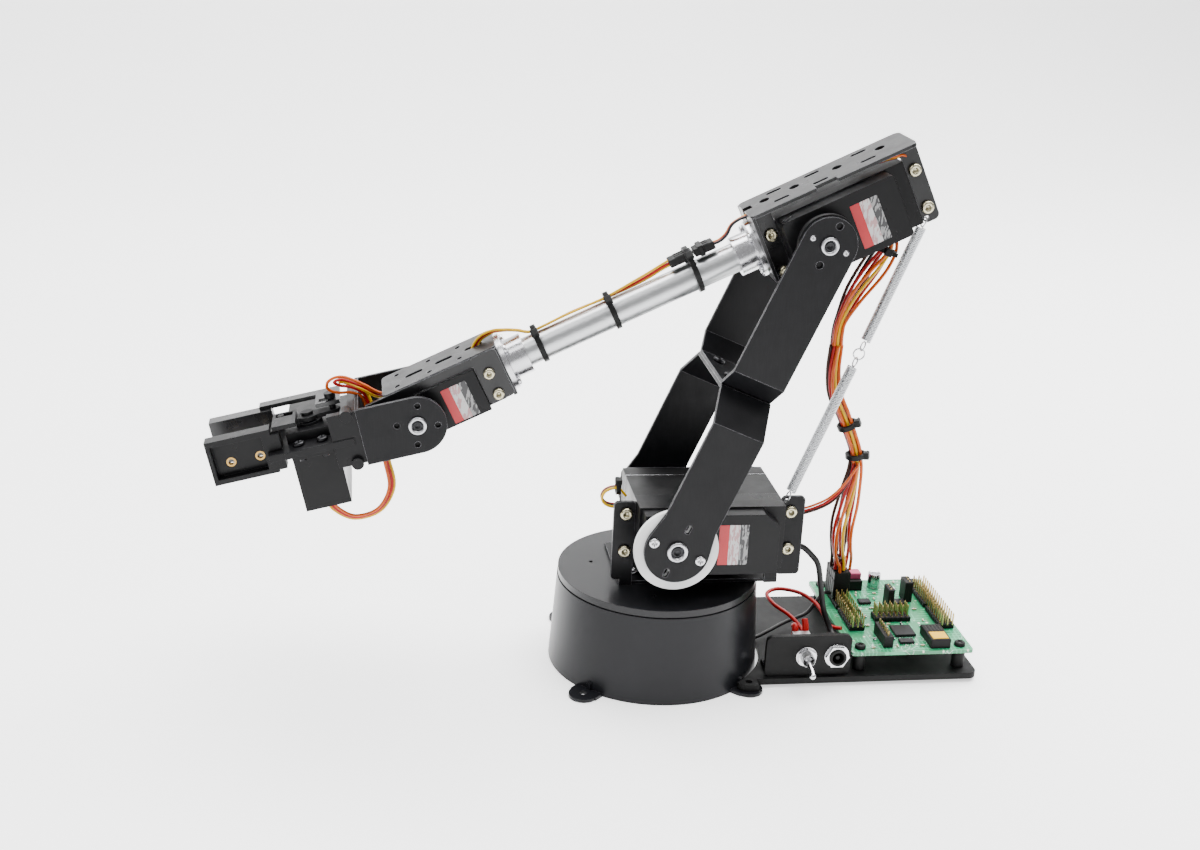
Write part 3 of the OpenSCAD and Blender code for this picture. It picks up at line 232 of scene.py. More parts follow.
def anodised(name, colour, rough=0.36, gloss=0.16):
    """Black anodised aluminium sheet: tiny sparkle, faint rolling lines, a painted highlight along the thin
    edges.
    """
    g = Graph(name)
    normal, mask = g.edges(0.00045)
    rolling = g.noise(1.0, 3, 0.5, g.stretched((2200, 2200, 160)))
    tone = g.mix(g.ranged(rolling, 0.35, 0.65), shade(colour, 0.85), shade(colour, 1.2))
    specks = g.ranged(g.noise(4200, 1), 0.68, 0.78, 0, 0.5)
    tone = g.mix(specks, tone, tuple(c + 0.02 for c in colour))
    scuffs = g.ranged(g.noise(1.0, 4, 0.6, g.stretched((60, 900, 60), (0.3, 0.5, 0.2))), 0.7, 0.78, 0, 0.25)
    tone = g.mix(scuffs, tone, (0.05, 0.05, 0.055))
    # painted highlight: the sheet's sharp edges are lightened where rounded edges would catch the light
    painted_edge_highlight = g.math("MULTIPLY", mask, g.ranged(g.noise(340, 4), 0.3, 0.6, 0.25, 0.85))
    tone = g.mix(painted_edge_highlight, tone, (0.3, 0.3, 0.32))
    roughness = g.ranged(g.noise(140, 4), 0.3, 0.7, rough - 0.05, rough + 0.08)
    return g.finish(tone, roughness, g.bump(g.noise(5200, 1), 0.000006, normal), Specular_IOR_Level=gloss)


def metal(name, colour, rough=0.28, lines=None, dents=0.0000008, wear=0.2, turn=(0, 0, 0)):
    """Bare or plated metal; lines stretches the polishing marks along an axis."""
    g = Graph(name)
    normal = g.edges(0.0002)[0]
    marks = g.noise(1.0, 4, 0.6, g.stretched(lines or (900, 900, 900), turn))
    tone = g.mix(g.ranged(marks, 0.3, 0.7), shade(colour, 0.9), shade(colour, 1.04))
    tarnish = g.ranged(g.noise(120, 4), 0.5, 0.75, 0, wear)
    tone = g.mix(tarnish, tone, shade(colour, 0.6))
    roughness = g.ranged(marks, 0.3, 0.7, max(0.05, rough - 0.05), rough + 0.06)
    return g.finish(tone, roughness, g.bump(marks, dents, normal), Metallic=1.0)


def insulated(name, colour, rough=0.38):
    """PVC wire insulation: slightly waxy, faint waviness from the conductor's strands."""
    g = Graph(name)
    tone = g.mix(g.ranged(g.noise(240, 3), 0.3, 0.7), shade(colour, 0.82), shade(colour, 1.12))
    grime = g.ranged(g.noise(70, 3), 0.56, 0.7, 0, 0.25)
    tone = g.mix(grime, tone, shade(colour, 0.55))
    roughness = g.ranged(g.noise(400, 2), 0.3, 0.7, rough - 0.08, rough + 0.1)
    return g.finish(tone, roughness, g.bump(g.noise(1300, 2), 0.00003), Coat_Weight=0.08, Coat_Roughness=0.3,
                    Specular_IOR_Level=0.25)


def solder_mask(name):
    """Green board: tracks under the mask, tinned pads, white legend strokes, bare fibre at the edge."""
    g = Graph(name)
    normal, mask = g.edges(0.0002)
    split = g.add("SeparateXYZ")
    g.join(g.place, split, "Vector")
    wander = g.math("MULTIPLY", g.noise(55, 1), 0.004)
    tracks = []
    for axis, pitch, turn in (("X", 0.0019, 0.4), ("Y", 0.0023, 1.7)):
        run = g.math("ADD", split.outputs[axis], wander)
        wave = g.math("PINGPONG", run, pitch / 2)
        line = g.ranged(wave, pitch * 0.14, pitch * 0.1)
        patch = g.ranged(g.noise(95, 1, 0.5, g.stretched((1, 1, 0.2), (0, 0, turn))), 0.5, 0.52)
        tracks.append(g.math("MULTIPLY", line, patch))
    copper = g.math("MAXIMUM", *tracks)
    dots = g.cells(380)
    pads = g.ranged(dots.outputs["Distance"], 0.26, 0.2)
    chosen = g.ranged(g.noise(150, 1), 0.56, 0.58)
    pads = g.math("MULTIPLY", pads, chosen)
    legend = g.math("MULTIPLY", g.ranged(g.cells(260, "DISTANCE_TO_EDGE").outputs["Distance"], 0.035, 0.02),
                    g.ranged(g.noise(110, 1), 0.6, 0.62))
    tone = g.mix(g.ranged(g.noise(30), 0.3, 0.7), (0.012, 0.17, 0.07), (0.02, 0.24, 0.1))
    tone = g.mix(copper, tone, (0.06, 0.4, 0.2))
    tone = g.mix(g.math("MULTIPLY", legend, 0.6), tone, (0.75, 0.8, 0.76))
    tone = g.mix(pads, tone, (0.78, 0.75, 0.6))
    tone = g.mix(g.math("MULTIPLY", mask, 0.6), tone, (0.35, 0.42, 0.2))
    height = g.math("ADD", copper, pads)
    return g.finish(tone, 0.28, g.bump(height, 0.00003, normal), Coat_Weight=0.4, Coat_Roughness=0.15)


def printed(name, colour, streak=None):
    """Printed foil label: satin ink with a faint dot screen."""
    g = Graph(name)
    screen = g.ranged(g.cells(2600).outputs["Distance"], 0.2, 0.5)
    tone = g.mix(g.math("MULTIPLY", screen, 0.18), colour, shade(colour, 0.75))
    if streak:
        bands = g.ranged(g.noise(1.0, 2, 0.5, g.stretched((900, 900, 260))), 0.5, 0.53)
        tone = g.mix(g.math("MULTIPLY", bands, 0.55), tone, streak)
    scratch = g.ranged(g.noise(1.0, 3, 0.6, g.stretched((200, 200, 1600))), 0.7, 0.75, 0, 0.4)
    tone = g.mix(scratch, tone, shade(colour, 1.3))
    return g.finish(tone, g.ranged(g.noise(500), 0.3, 0.7, 0.3, 0.45), g.bump(g.noise(900), 0.00001))


def floor_material():
    """White studio sweep, faintly mottled."""
    g = Graph("floor")
    tone = g.mix(g.ranged(g.noise(3), 0.3, 0.7), (0.93, 0.93, 0.935), (0.95, 0.95, 0.95))
    return g.finish(tone, 0.6, g.bump(g.noise(60), 0.0001), Emission_Color=(1, 1, 1, 1),
                    Emission_Strength=0.9)


M = {
    "base": moulded("base_plastic", (0.007, 0.0072, 0.009), 0.3, 0.000002, 400, 0.0, gloss=0.2, calm=0.15),
    "disc": moulded("disc_plastic", (0.008, 0.008, 0.0095), 0.3, 0.000002, 400, 0.0, gloss=0.3, calm=0.15),
    "servo": moulded("servo_plastic", (0.004, 0.004, 0.0043), 0.36, 0.00002, 2200),
    "servo_lid": moulded("servo_lid", (0.0045, 0.0045, 0.005), 0.32, 0.00002, 2600),
    "horn": moulded("horn_black", (0.007, 0.007, 0.0075), 0.42),
    "frame": moulded("gripper_plastic", (0.005, 0.005, 0.0056), 0.32, 0.00001, 2000),
    "jaw": moulded("jaw_plastic", (0.0045, 0.0045, 0.005), 0.3, 0.00001, 2000),
    "far_jaw": moulded("far_jaw_plastic", (0.012, 0.012, 0.013), 0.28, 0.00001, 2000, gloss=0.6),
    "plate": moulded("plate_black", (0.005, 0.005, 0.005), 0.5, 0.00003, 1500),
    "part": moulded("black_plastic", (0.006, 0.006, 0.006), 0.46),
    "header": moulded("header_black", (0.006, 0.006, 0.006), 0.5),
    "chip": moulded("chip_black", (0.01, 0.01, 0.011), 0.4, 0.00001, 4000),
    "tie": moulded("tie_nylon", (0.005, 0.005, 0.005), 0.42, 0.00001),
    "nylon": moulded("white_nylon", (0.72, 0.72, 0.72), 0.4, 0.00001, 2600, 0.1),
    "sheet": anodised("black_sheet", (0.004, 0.004, 0.0048)),
    "sheet_plate": anodised("bracket_sheet", (0.005, 0.005, 0.0057), 0.3, 0.4),
    "steel": metal("steel_screws", (0.6, 0.6, 0.62), 0.24),
    "brass": metal("brass_screws", (0.5, 0.46, 0.32), 0.26),
    "gold": metal("header_pins", (0.6, 0.45, 0.18), 0.3),
    "insert": metal("brass_insert", (0.4, 0.25, 0.08), 0.3),
    "dark_screw": metal("dark_screws", (0.03, 0.03, 0.032), 0.34),
    "pivot": metal("pivot_metal", (0.5, 0.5, 0.52), 0.3),
    "chrome": metal("chrome", (0.72, 0.72, 0.74), 0.12, wear=0.1),
    "switch": metal("switch_metal", (0.5, 0.5, 0.5), 0.32),
    "spring": metal("spring_steel", (0.62, 0.63, 0.65), 0.26, wear=0.05),
    "tube": metal("tube_aluminium", (0.56, 0.57, 0.58), 0.34, (60, 2400, 2400), 0.0000004, 0.06,
                  (0, FOREARM_SLOPE, 0)),
    "hub": metal("hub_aluminium", (0.6, 0.6, 0.62), 0.22, wear=0.1),
    "board": solder_mask("board_green"),
    "yellow": insulated("yellow_wire", (0.62, 0.36, 0.002)),
    "orange": insulated("orange_wire", (0.5, 0.075, 0.001)),
    "red": insulated("red_wire", (0.34, 0.002, 0.002)),
    "brown": insulated("brown_wire", (0.035, 0.007, 0.002)),
    "black": insulated("black_wire", (0.006, 0.006, 0.0065)),
    "pink": moulded("pink_cap", (0.5, 0.08, 0.18), 0.35),
    "jumper": moulded("yellow_jumper", (0.7, 0.4, 0.02), 0.35),
    "ceramic": moulded("ceramic", (0.4, 0.33, 0.2), 0.4),
    "can": metal("capacitor_can", (0.5, 0.5, 0.52), 0.2),
    "label_red": printed("label_red", (0.42, 0.003, 0.01)),
    "label_white": printed("label_white", (0.5, 0.5, 0.5), (0.3, 0.02, 0.03)),
    "label_grey": printed("label_grey", (0.03, 0.03, 0.032), (0.4, 0.4, 0.4)),
}


# ---------- mesh building ----------
def rounded_route(points, steps=6):
    """Catmull-Rom curve through given points of any dimension."""
    points = [Vector(p) for p in points]
    out = []
    for i in range(len(points) - 1):
        p, q, r, s = (points[max(i - 1, 0)], points[i], points[i + 1], points[min(i + 2, len(points) - 1)])
        for k in range(steps):
            u = k / steps
            out.append(0.5 * (2 * q + (r - p) * u + (2 * p - 5 * q + 4 * r - s) * u * u
                              + (3 * q - p - 3 * r + s) * u ** 3))
    return out + [points[-1]]


def frames_along(path):
    """Parallel-transported (normal, binormal) at each point."""
    out = []
    normal = None
    for i in range(len(path)):
        ahead = (path[min(i + 1, len(path) - 1)] - path[max(i - 1, 0)]).normalized()
        if normal is None:
            normal = ahead.cross(Vector((0.3, 1, 0.2))).normalized()
        normal = (normal - ahead * normal.dot(ahead)).normalized()
        out.append((normal, ahead.cross(normal)))
    return out


class Build:
    """One piece being made, in a link's own millimetres."""

    def __init__(self, name, link_matrix, body, slot, materials):
        self.name, self.matrix, self.body, self.slot = name, link_matrix, body, slot
        self.materials = materials
        self.bm = bmesh.new()

    def _place(self, verts, faces, index, smooth, turn):
        for face in faces:
            face.material_index = index
            face.smooth = smooth
        if turn is not None:
            bmesh.ops.transform(self.bm, matrix=turn, verts=verts)

    def box(self, low, high, bevel=0.3, segments=2, index=0, turn=None):
        made = bmesh.ops.create_cube(self.bm, size=1)["verts"]
        low, high = Vector(low), Vector(high)
        for v in made:
            v.co = Vector((a + (b - a) * (c + 0.5) for a, b, c in zip(low, high, v.co)))
        edges = list({e for v in made for e in v.link_edges})
        faces = list({f for v in made for f in v.link_faces})
        if bevel:
            before = set(self.bm.faces)
            result = bmesh.ops.bevel(self.bm, geom=edges, offset=bevel, segments=segments,
                                     profile=0.5, affect="EDGES", clamp_overlap=True)
            faces = [f for f in self.bm.faces if f not in before or f in result["faces"]]
            faces = set(faces) | {f for v in result["verts"] for f in v.link_faces}
            made = list({v for f in faces for v in f.verts})
        self._place(made, faces, index, False, turn)
        return made

    def lathe(self, rings, sides=40, index=0, turn=None, smooth=True, closed=True):
        """rings of (radius, height) about +Z; a radius may be a function of the angle."""
        loops = []
        for radius, height in rings:
            loop = []
            for k in range(sides):
                a = 2 * math.pi * k / sides
                r = radius(a) if callable(radius) else radius
                loop.append(self.bm.verts.new((r * math.cos(a), r * math.sin(a), height)))
            loops.append(loop)
        faces = []
        for low, high in zip(loops, loops[1:]):
            for k in range(sides):
                m = (k + 1) % sides
                faces.append(self.bm.faces.new((low[k], low[m], high[m], high[k])))
        if closed:
            faces.append(self.bm.faces.new(list(reversed(loops[0]))))
            faces.append(self.bm.faces.new(loops[-1]))
        self._place([v for loop in loops for v in loop], faces, index, smooth, turn)

    def sweep(self, path, radius, sides=8, index=0):
        """Round tube along points of the link's own millimetres; radius may vary along it."""
        loops = []
        for i, (point, (n, b)) in enumerate(zip(path, frames_along(path))):
            r = radius(i / (len(path) - 1)) if callable(radius) else radius
            loops.append([self.bm.verts.new(point + r * (math.cos(a) * n + math.sin(a) * b))
                          for a in (2 * math.pi * k / sides for k in range(sides))])
        for low, high in zip(loops, loops[1:]):
            for k in range(sides):
                m = (k + 1) % sides
                face = self.bm.faces.new((low[k], low[m], high[m], high[k]))
                face.material_index, face.smooth = index, True
        for loop in (list(reversed(loops[0])), loops[-1]):
            self.bm.faces.new(loop).material_index = index

    def plate(self, outline, low, high, bevel=0.0, index=0, turn=None):
        """Flat outline of (x, y) points raised from low to high."""
        bottom = [self.bm.verts.new((x, y, low)) for x, y in outline]
        top = [self.bm.verts.new((x, y, high)) for x, y in outline]
        faces = [self.bm.faces.new(list(reversed(bottom))), self.bm.faces.new(top)]
        n = len(outline)
        for k in range(n):
            m = (k + 1) % n
            faces.append(self.bm.faces.new((bottom[k], bottom[m], top[m], top[k])))
        made = bottom + top
        if bevel:
            result = bmesh.ops.bevel(self.bm, geom=list(faces[1].edges), offset=bevel, segments=2,
                                     profile=0.5, affect="EDGES", clamp_overlap=True)
            made = list({v for v in made if v.is_valid} | set(result["verts"]))
            faces = list({f for v in made for f in v.link_faces})
        self._place(made, faces, index, False, turn)

    def done(self, replaces=(), blend=None):
        bmesh.ops.recalc_face_normals(self.bm, faces=self.bm.faces)
        bmesh.ops.transform(self.bm, matrix=self.matrix, verts=self.bm.verts)
        mesh = bpy.data.meshes.new(self.name)
        self.bm.to_mesh(mesh)
        self.bm.free()
        for name in self.materials:
            mesh.materials.append(M[name])
        piece = bpy.data.objects.new(self.name, mesh)
        bpy.context.collection.objects.link(piece)
        if blend:
            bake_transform(piece)
        else:
            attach(piece, self.body)
        if replaces:
            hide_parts(*replaces)
        return piece


AXIS_TURN = {
    "+Z": Matrix.Identity(4),
    "-Z": Matrix.Rotation(math.pi, 4, "X"),
    "+Y": Matrix.Rotation(-math.pi / 2, 4, "X"),
    "-Y": Matrix.Rotation(math.pi / 2, 4, "X"),
    "+X": Matrix.Rotation(math.pi / 2, 4, "Y"),
    "-X": Matrix.Rotation(-math.pi / 2, 4, "Y"),
}


def toward(axis, point, spin=0.0):
    """Places a shape drawn about +Z at point, facing along axis."""
    return Matrix.Translation(point) @ AXIS_TURN[axis] @ Matrix.Rotation(spin, 4, "Z")


def hexagon(flat):
    return lambda a: flat / math.cos((a + math.pi / 6) % (math.pi / 3) - math.pi / 6)


def cross(arm, half):
    def radius(a):
        near = (a + math.pi / 4) % (math.pi / 2) - math.pi / 4
        return min(arm / math.cos(near), half / max(abs(math.sin(near)), 1e-4))
    return radius


def screw(build, axis, point, head=2.8, height=1.9, drive="hex", index=0, shank=0.0):
    """Pan-head screw: domed head, recess with a floor, and a shank behind it."""
    recess = hexagon(head * 0.4) if drive == "hex" else cross(head * 0.62, head * 0.15)
    depth = height * 0.6
    rings = [(1.4, -shank), (1.4, 0)] if shank else []
    rings += [(head * 0.97, 0), (head, height * 0.15), (head, height * 0.55), (head * 0.93, height * 0.82),
              (head * 0.78, height * 0.97), (head * 0.66, height), (recess, height),
              (recess, height - depth), (head * 0.08, height - depth - 0.2)]
    build.lathe(rings, 48, index, toward(axis, point, 0.4))


def nut(build, axis, point, flat, height, index=0):
    """Hexagon nut with chamfered corners round a clear hole."""
    six, hole = hexagon(flat), 1.4

    def low(a):
        return min(six(a), flat * 1.08)

    rings = [(hole, 0), (low, 0), (six, height * 0.14), (six, height * 0.86), (low, height), (hole, height)]
    build.lathe(rings, 48, index, toward(axis, point), False, False)


def rounded_rectangle(low, high, radius, steps=5):
    out = []
    corners = ((high[0] - radius, high[1] - radius, 0), (low[0] + radius, high[1] - radius, 90),
               (low[0] + radius, low[1] + radius, 180), (high[0] - radius, low[1] + radius, 270))
    for x, y, start in corners:
        for k in range(steps + 1):
            a = math.radians(start + 90 * k / steps)
            out.append((x + radius * math.cos(a), y + radius * math.sin(a)))
    return out


# ---------- wires ----------
# each lead is three wires; the two kinds that the servos use
GOLD_LEAD = ("yellow", "red", "black")
AMBER_LEAD = ("orange", "red", "brown")
LOOM_LEADS = [AMBER_LEAD, GOLD_LEAD, AMBER_LEAD]
WIRE_COLOURS = ["yellow", "orange", "red", "brown", "black"]


def in_row(matrix, points):
    """Link millimetres to row millimetres."""
    return [(matrix @ Vector(p)) / MM for p in points]


def lead_places(leads, pitch):
    """Places of the wires in a bundle's section: each lead's three wires in a row, rows stacked."""
    places = []
    for row in range(leads):
        for k in range(3):
            shift = 0.5 * pitch if row % 2 else 0.0
            places.append(((k - 1) * pitch + shift * 0.6, (row - (leads - 1) / 2) * pitch * 0.9))
    return places


def crossing(body_a, body_b, start, end):
    """Two bodies and two points, given in row millimetres, where a piece crosses a joint; done() only uses it
    to leave the piece unattached.
    """
    return body_a, body_b, Vector(start) * MM, Vector(end) * MM


def bundle(name, points, leads, body, node, radius, spread=None, twist=70.0, blend=None):
    """Servo leads running together along a given route in row millimetres."""
    spread = spread or [1.0] * len(points)
    wander = 0.25
    route = rounded_route([(*p, s) for p, s in zip(points, spread)], 8)
    centre = [Vector(p[:3]) for p in route]
    sections = frames_along(centre)
    lengths = [0.0]
    for a, b in zip(centre, centre[1:]):
        lengths.append(lengths[-1] + (b - a).length)
    build = Build(name, ROW, body, "servo_wire", WIRE_COLOURS)
    colours = [c for lead in leads for c in lead]
    for w, ((u, v), colour) in enumerate(zip(lead_places(len(leads), radius * 2.08), colours)):
        path = []
        for i, (point, (n, b)) in enumerate(zip(centre, sections)):
            turn = math.radians(twist) * math.sin(lengths[i] / 38.0 + 0.4)
            drift = wander * noise.noise(Vector((lengths[i] / 16.0, w * 7.3, 1.7)))
            side = (u * math.cos(turn) - v * math.sin(turn)) * route[i][3] + drift
            rise = (u * math.sin(turn) + v * math.cos(turn)) * route[i][3] - drift
            path.append(point + n * side + b * rise)
        build.sweep(path, radius, 8, WIRE_COLOURS.index(colour))
    piece = build.done([node], blend)
    return piece


def single(name, points, colour, radius, body, node=None, blend=None):
    """One round cable along a given route in row millimetres."""
    path = rounded_route(points, 8)
    build = Build(name, ROW, body, "black_cable" if colour == "black" else "red_wire", [colour])
    build.sweep(path, radius, 14)
    piece = build.done([node] if node else (), blend)
    return piece


def make_loom():
    bundle("loom_top_wires", [(-92.4, 5, 202.4), (-91.4, 5, 197.4), (-87, 5, 190), (-79.6, 5, 178),
                              (-74.6, 5, 166), (-73.5, 5, 160), (-73.4, 5, 154.0)],
           LOOM_LEADS, "forearm", "loom_top", 0.76, [1.4, 2.1, 2.55, 2.1, 1.2, 1.15, 1.15],
           blend=crossing("forearm", "upper_arm", (-92, 5, 200), (-74, 5, 158)))
    bundle("loom_mid_wires", [(-73.4, 5, 154.0), (-73.2, 5, 142), (-75, 5, 131), (-80, 5, 121),
                              (-85, 5, 110), (-87.4, 5, 103.5), (-88, 5, 98.6)],
           LOOM_LEADS, "turret", "loom_mid", 0.76, [1.15, 1.2, 1.4, 1.4, 1.3, 1.2, 1.2],
           blend=crossing("upper_arm", "turret", (-73, 5, 150), (-88, 5, 101)))
    bundle("loom_low_wires", [(-88, 5, 98.6), (-88, 5, 92), (-87, 3.4, 78), (-87, -1, 65), (-89.6, -8, 53),
                              (-93, -15.6, 44), (-95.2, -20.6, 38.4), (-95.6, -22, 32.4)],
           LOOM_LEADS, "turret", "loom_low", 0.76, [1.2, 1.5, 2.2, 2.5, 2.6, 2.5, 2.3, 2.2],
           blend=crossing("turret", "base", (-88, 5, 92), (-95, -21, 40)))
    bundle("shoulder_lead_wires", [(-87.5, 9.2, 97.6), (-82.6, 10, 88.6), (-77, 10, 82), (-70, 10, 78.2),
                                   (-61.4, 9.4, 75.2)],
           [AMBER_LEAD], "turret", "shoulder_lead", 0.55, twist=200)
    single("board_cable", [(-61.8, 8, 58.4), (-66.4, 8, 57.2), (-71, 8.2, 53), (-74.4, 8.4, 48),
                           (-76.6, 8.8, 37), (-78.6, 10, 26), (-81.4, 14, 18), (-82, 20.2, 14.8)],
           "black", 1.35, "base", "board_lead", crossing("turret", "base", (-66, 8, 57), (-79, 12, 22)))


def make_hand_lead():
    crank_a = 45.5
    points = in_row(HAND, [(crank_a + 1, 1.5, -31.8), (crank_a - 1, 1.6, -38), (37, 1.8, -44), (26, 2, -43),
                           (18.4, 2.2, -34), (17.6, 2.4, -22), (18.2, 2.6, -10), (19, 2.8, 2), (19.6, 3, 9),
                           (20.8, 3.2, 12.6), (24.6, 3.5, 15.8), (29, 4, 17.8), (31, 4.6, 20), (27, 5, 20.4),
                           (20, 4.8, 15.6), (13.4, 4.4, 10), (6.4, 4, 10)])
    spread = [1.0, 1.0, 1.1, 1.2, 1.2, 1.1, 1, 1, 1, 1.2, 1.6, 2.2, 2.6, 2.2, 1.5, 1, 1]
    bundle("gripper_lead_wires", points, [("orange", "red", "yellow")], "hand", "gripper_lead", 0.68,
           spread, twist=40)


def make_tube_wires():
    end = FOREARM_LENGTH
    points = in_row(FOREARM, [(end - 33.5, 3, 10.6), (end - 34.4, 3, 14), (end - 38.4, 3, 16.8),
                              (end - 44, 3.1, 17.4), (end - 49, 3.2, 15.8), (133.2, 3.2, 13.2),
                              (128.6, 3.25, 10.3), (122, ARM_MID, 10.1), (108, ARM_MID, 10.6),
                              (92, ARM_MID, 10.2), (76, ARM_MID, 11), (66, ARM_MID, 12.2),
                              (61.4, ARM_MID, 12.6)])
    bundle("forearm_lead_wires", points, [("yellow", "red", "yellow")], "forearm", "forearm_wires", 0.55,
           [1, 1, 1, 1.1, 1, 1, 1, 1, 1.2, 1, 1.2, 1, 1], twist=90)


def make_power_leads():
    single("supply_lead_red", [(-66.5, 20.9, 16), (-67.6, 14, 18), (-64, 6, 21), (-58, -3, 23),
                               (-57, -12, 24), (-64, -17, 24), (-74, -14, 23), (-80, -6, 21),
                               (-82, 4, 18.6), (-83.4, 9, 16.6), (-87.2, 13, 17.4)],
           "red", 0.95, "base", "power_leads")
    single("supply_lead_black", [(-62.6, 20.9, 10), (-62, 14, 9.4), (-66, 6, 9), (-74, 6, 9),
                                 (-80, 12, 9.6), (-80, 20.4, 11)], "black", 0.95, "base")
    single("turntable_servo_lead", [(-43, 0, 6.4), (-50, -1, 6.6), (-56, -4, 7.6), (-67, -11, 9),
                                    (-78, -14, 12), (-83, -16, 17), (-87, -18, 20.6),
                                    (-90.6, -18.4, 20.4)], "black", 0.9, "base")


make_loom()
make_hand_lead()
make_tube_wires()
make_power_leads()


# ---------- springs ----------
SPRING_EYE = 2.1


def make_spring(name, low, high, body, blend):
    """Closed-wound extension spring between the centres of its hook eyes, in row millimetres."""
    wire, outer, eye, start, pitch = 0.34, 2.4, SPRING_EYE, 2.6, 0.7
    low, high = Vector(low), Vector(high)
    ahead = (high - low).normalized()
    length = (high - low).length
    side = ahead.cross(Vector((0, 1, 0))).normalized()
    over = side.cross(ahead)
    build = Build(name + "_coil", ROW, body, "spring_steel", ["spring"])
    coil = []
    turns = (length - 2 * start) / pitch
    steps = int(turns * 14)
    for i in range(steps + 1):
        a = 2 * math.pi * turns * i / steps
        h = start + (length - 2 * start) * i / steps
        coil.append(low + ahead * h + (outer - wire) * (math.cos(a) * over + math.sin(a) * side))
    build.sweep(coil, wire, 6)
    for centre, out in ((low, -1), (high, 1)):
        ring = []
        for k in range(33):
            a = math.pi * (0.06 + 1.88 * k / 32)
            ring.append(centre - out * ahead * eye * math.cos(a) + over * eye * math.sin(a))
        build.sweep(ring, wire, 8)
    build.done([name], blend)


def make_springs():
    eye, eye_gap = SPRING_EYE, 3.85
    low_hook = Vector((-53.3, 17.9, SHOULDER.z / MM + 14.1))
    ring = Vector((-80.7, 15.5, 152.9))
    up_hook = (FOREARM @ Vector((-46.6, 13.2, -13.3))) / MM
    to_low, to_high = (ring - low_hook).normalized(), (up_hook - ring).normalized()
    make_spring("lower_spring", low_hook + eye * to_low, ring - eye_gap * to_low, "turret",
                crossing("turret", "upper_arm", low_hook + 4 * to_low, ring - 6 * to_low))
    make_spring("upper_spring", ring + eye_gap * to_high, up_hook - eye * to_high, "forearm",
                crossing("upper_arm", "forearm", ring + 6 * to_high, up_hook - 5 * to_high))
    build = Build("split_ring", ROW, "upper_arm", "spring_steel", ["spring"])
    wire_ring = []
    for k in range(81):
        a = 4 * math.pi * 0.98 * k / 80
        wire_ring.append(ring + Vector((2.5 * math.cos(a), 0.26 * (k / 40 - 1), 2.5 * math.sin(a))))
    build.sweep(wire_ring, 0.3, 8)
    build.done(["spring_ring"])


make_springs()


# ---------- screws, nuts and ties ----------
BOARD_PLACE = Vector((-116.1, -5.1, 15.0))
# outer faces of the upper arm's straps, toward the viewer (near) and away (far)
NEAR_LOW, FAR_LOW, NEAR_UP, FAR_UP = 40.5, -34.0, 33.5, -27.0


def make_base_screws():
    build = Build("plate_and_board_screws", ROW, "base", "steel_screws", ["steel", "part"])
    for x, y in product((-24, 24), (-33, 33)):
        screw(build, "+Z", BOARD_PLACE + Vector((x, y, 0)), 2.6, 1.9, "cross", shank=6, index=1)
    for x in (-16, 16):
        screw(build, "+Z", (-66 + x, 25.5, 6.6), shank=4.4, drive="cross")
    for x, y in product((-34.75, 14.75), (-5, 5)):
        screw(build, "-Z", (x, y, 26), shank=8, drive="cross")
    build.done(["base_screws"])


def make_turret_screws():
    build = Build("turret_bolts", ROW, "turret", "brass_screws", ["brass", "steel"])
    shoulder_z = SHOULDER.z / MM
    for x, z in product((19.3, -55.4), (-9, 9)):
        screw(build, "+Y", (x, 18.7, shoulder_z + z), 2.9, 2.0, "hex", shank=9)
        nut(build, "-Y", (x, 14.38, shoulder_z + z), 2.5, 2.1, 1)
    for x, y in product((-34, 14), (-15, 9)):
        screw(build, "+Z", (x, y, 46.5), drive="cross", index=1, shank=4.6)
    build.done(["turret_screws"])


def make_arm_screws():
    build = Build("arm_bolts", UPPER, "upper_arm", "steel_screws", ["steel", "dark_screw"])
    web = UPPER_LENGTH / 2
    for x in (-11.3, 11.3):
        screw(build, "+Y", (x, NEAR_LOW, 0), 2.3, 1.25, "cross", shank=3.6)
        screw(build, "-Y", (x, FAR_LOW, 0), 2.3, 1.25, "cross", shank=1.4)
    for x in (-8, 8):
        screw(build, "+Y", (x, NEAR_UP - 0.9, UPPER_LENGTH), 1.2, 1.1, "cross", shank=2)
    for x, y in product((-6, 6), (-8, 14.5)):
        screw(build, "+Z", (x, y, web + 1.5), 2.8, 1.9, "hex", shank=5.4, index=1)
        nut(build, "-Z", (x, y, web - 1.5), 2.6, 2.2)
    build.done(["arm_screws"])


def make_forearm_screws():
    build = Build("forearm_bolts", FOREARM, "forearm", "brass_screws", ["brass", "steel"])
    for x, z in product((18.3, -48.3), (-8.75, 8.75)):
        screw(build, "+Y", (x, 14, z), 2.8, 2.0, "hex", shank=8)
        nut(build, "-Y", (x, 9.88, z), 2.5, 2.4, 1)
    for (x, head, height), z in product(((-36, 2.5, 1.9), (13.5, 2.2, 1.2)), (-5, 5)):
        screw(build, "+Y", (FOREARM_LENGTH + x, 15.9, z), head, height, "hex", shank=7.6)
        nut(build, "-Y", (FOREARM_LENGTH + x, 11.78, z), 2.1, 2.3, 1)
    hub_1, hub_2, tube_up, reach, flange = 24, FOREARM_LENGTH - 43.4, 2.6, 7.74, 2.2
    for y, z in product((-1, 1), (-1, 1)):
        place = (ARM_MID + reach * y, tube_up + reach * z)
        screw(build, "+X", (hub_1 + flange, *place), 1.9, 1.4, "cross", shank=3.8, index=1)
        screw(build, "-X", (hub_2 - flange, *place), 1.9, 1.4, "cross", shank=3.8, index=1)
    build.done(["forearm_screws"])


def make_hand_screws():
    build = Build("hand_bolts", HAND, "hand", "dark_screws", ["dark_screw", "steel"])
    for x, y in product((-5, 5), (-31.3, 18.2)):
        screw(build, "+Z", (45.5 + x, y, 0.5), 2.5, 1.6, "cross", shank=7)
    for y, z in product((-11, 17.5), (-8, 8)):
        screw(build, "-X", (22.5, y, z), 2.4, 1.2, "cross", shank=4.6, index=1)
    build.done(["hand_screws"])


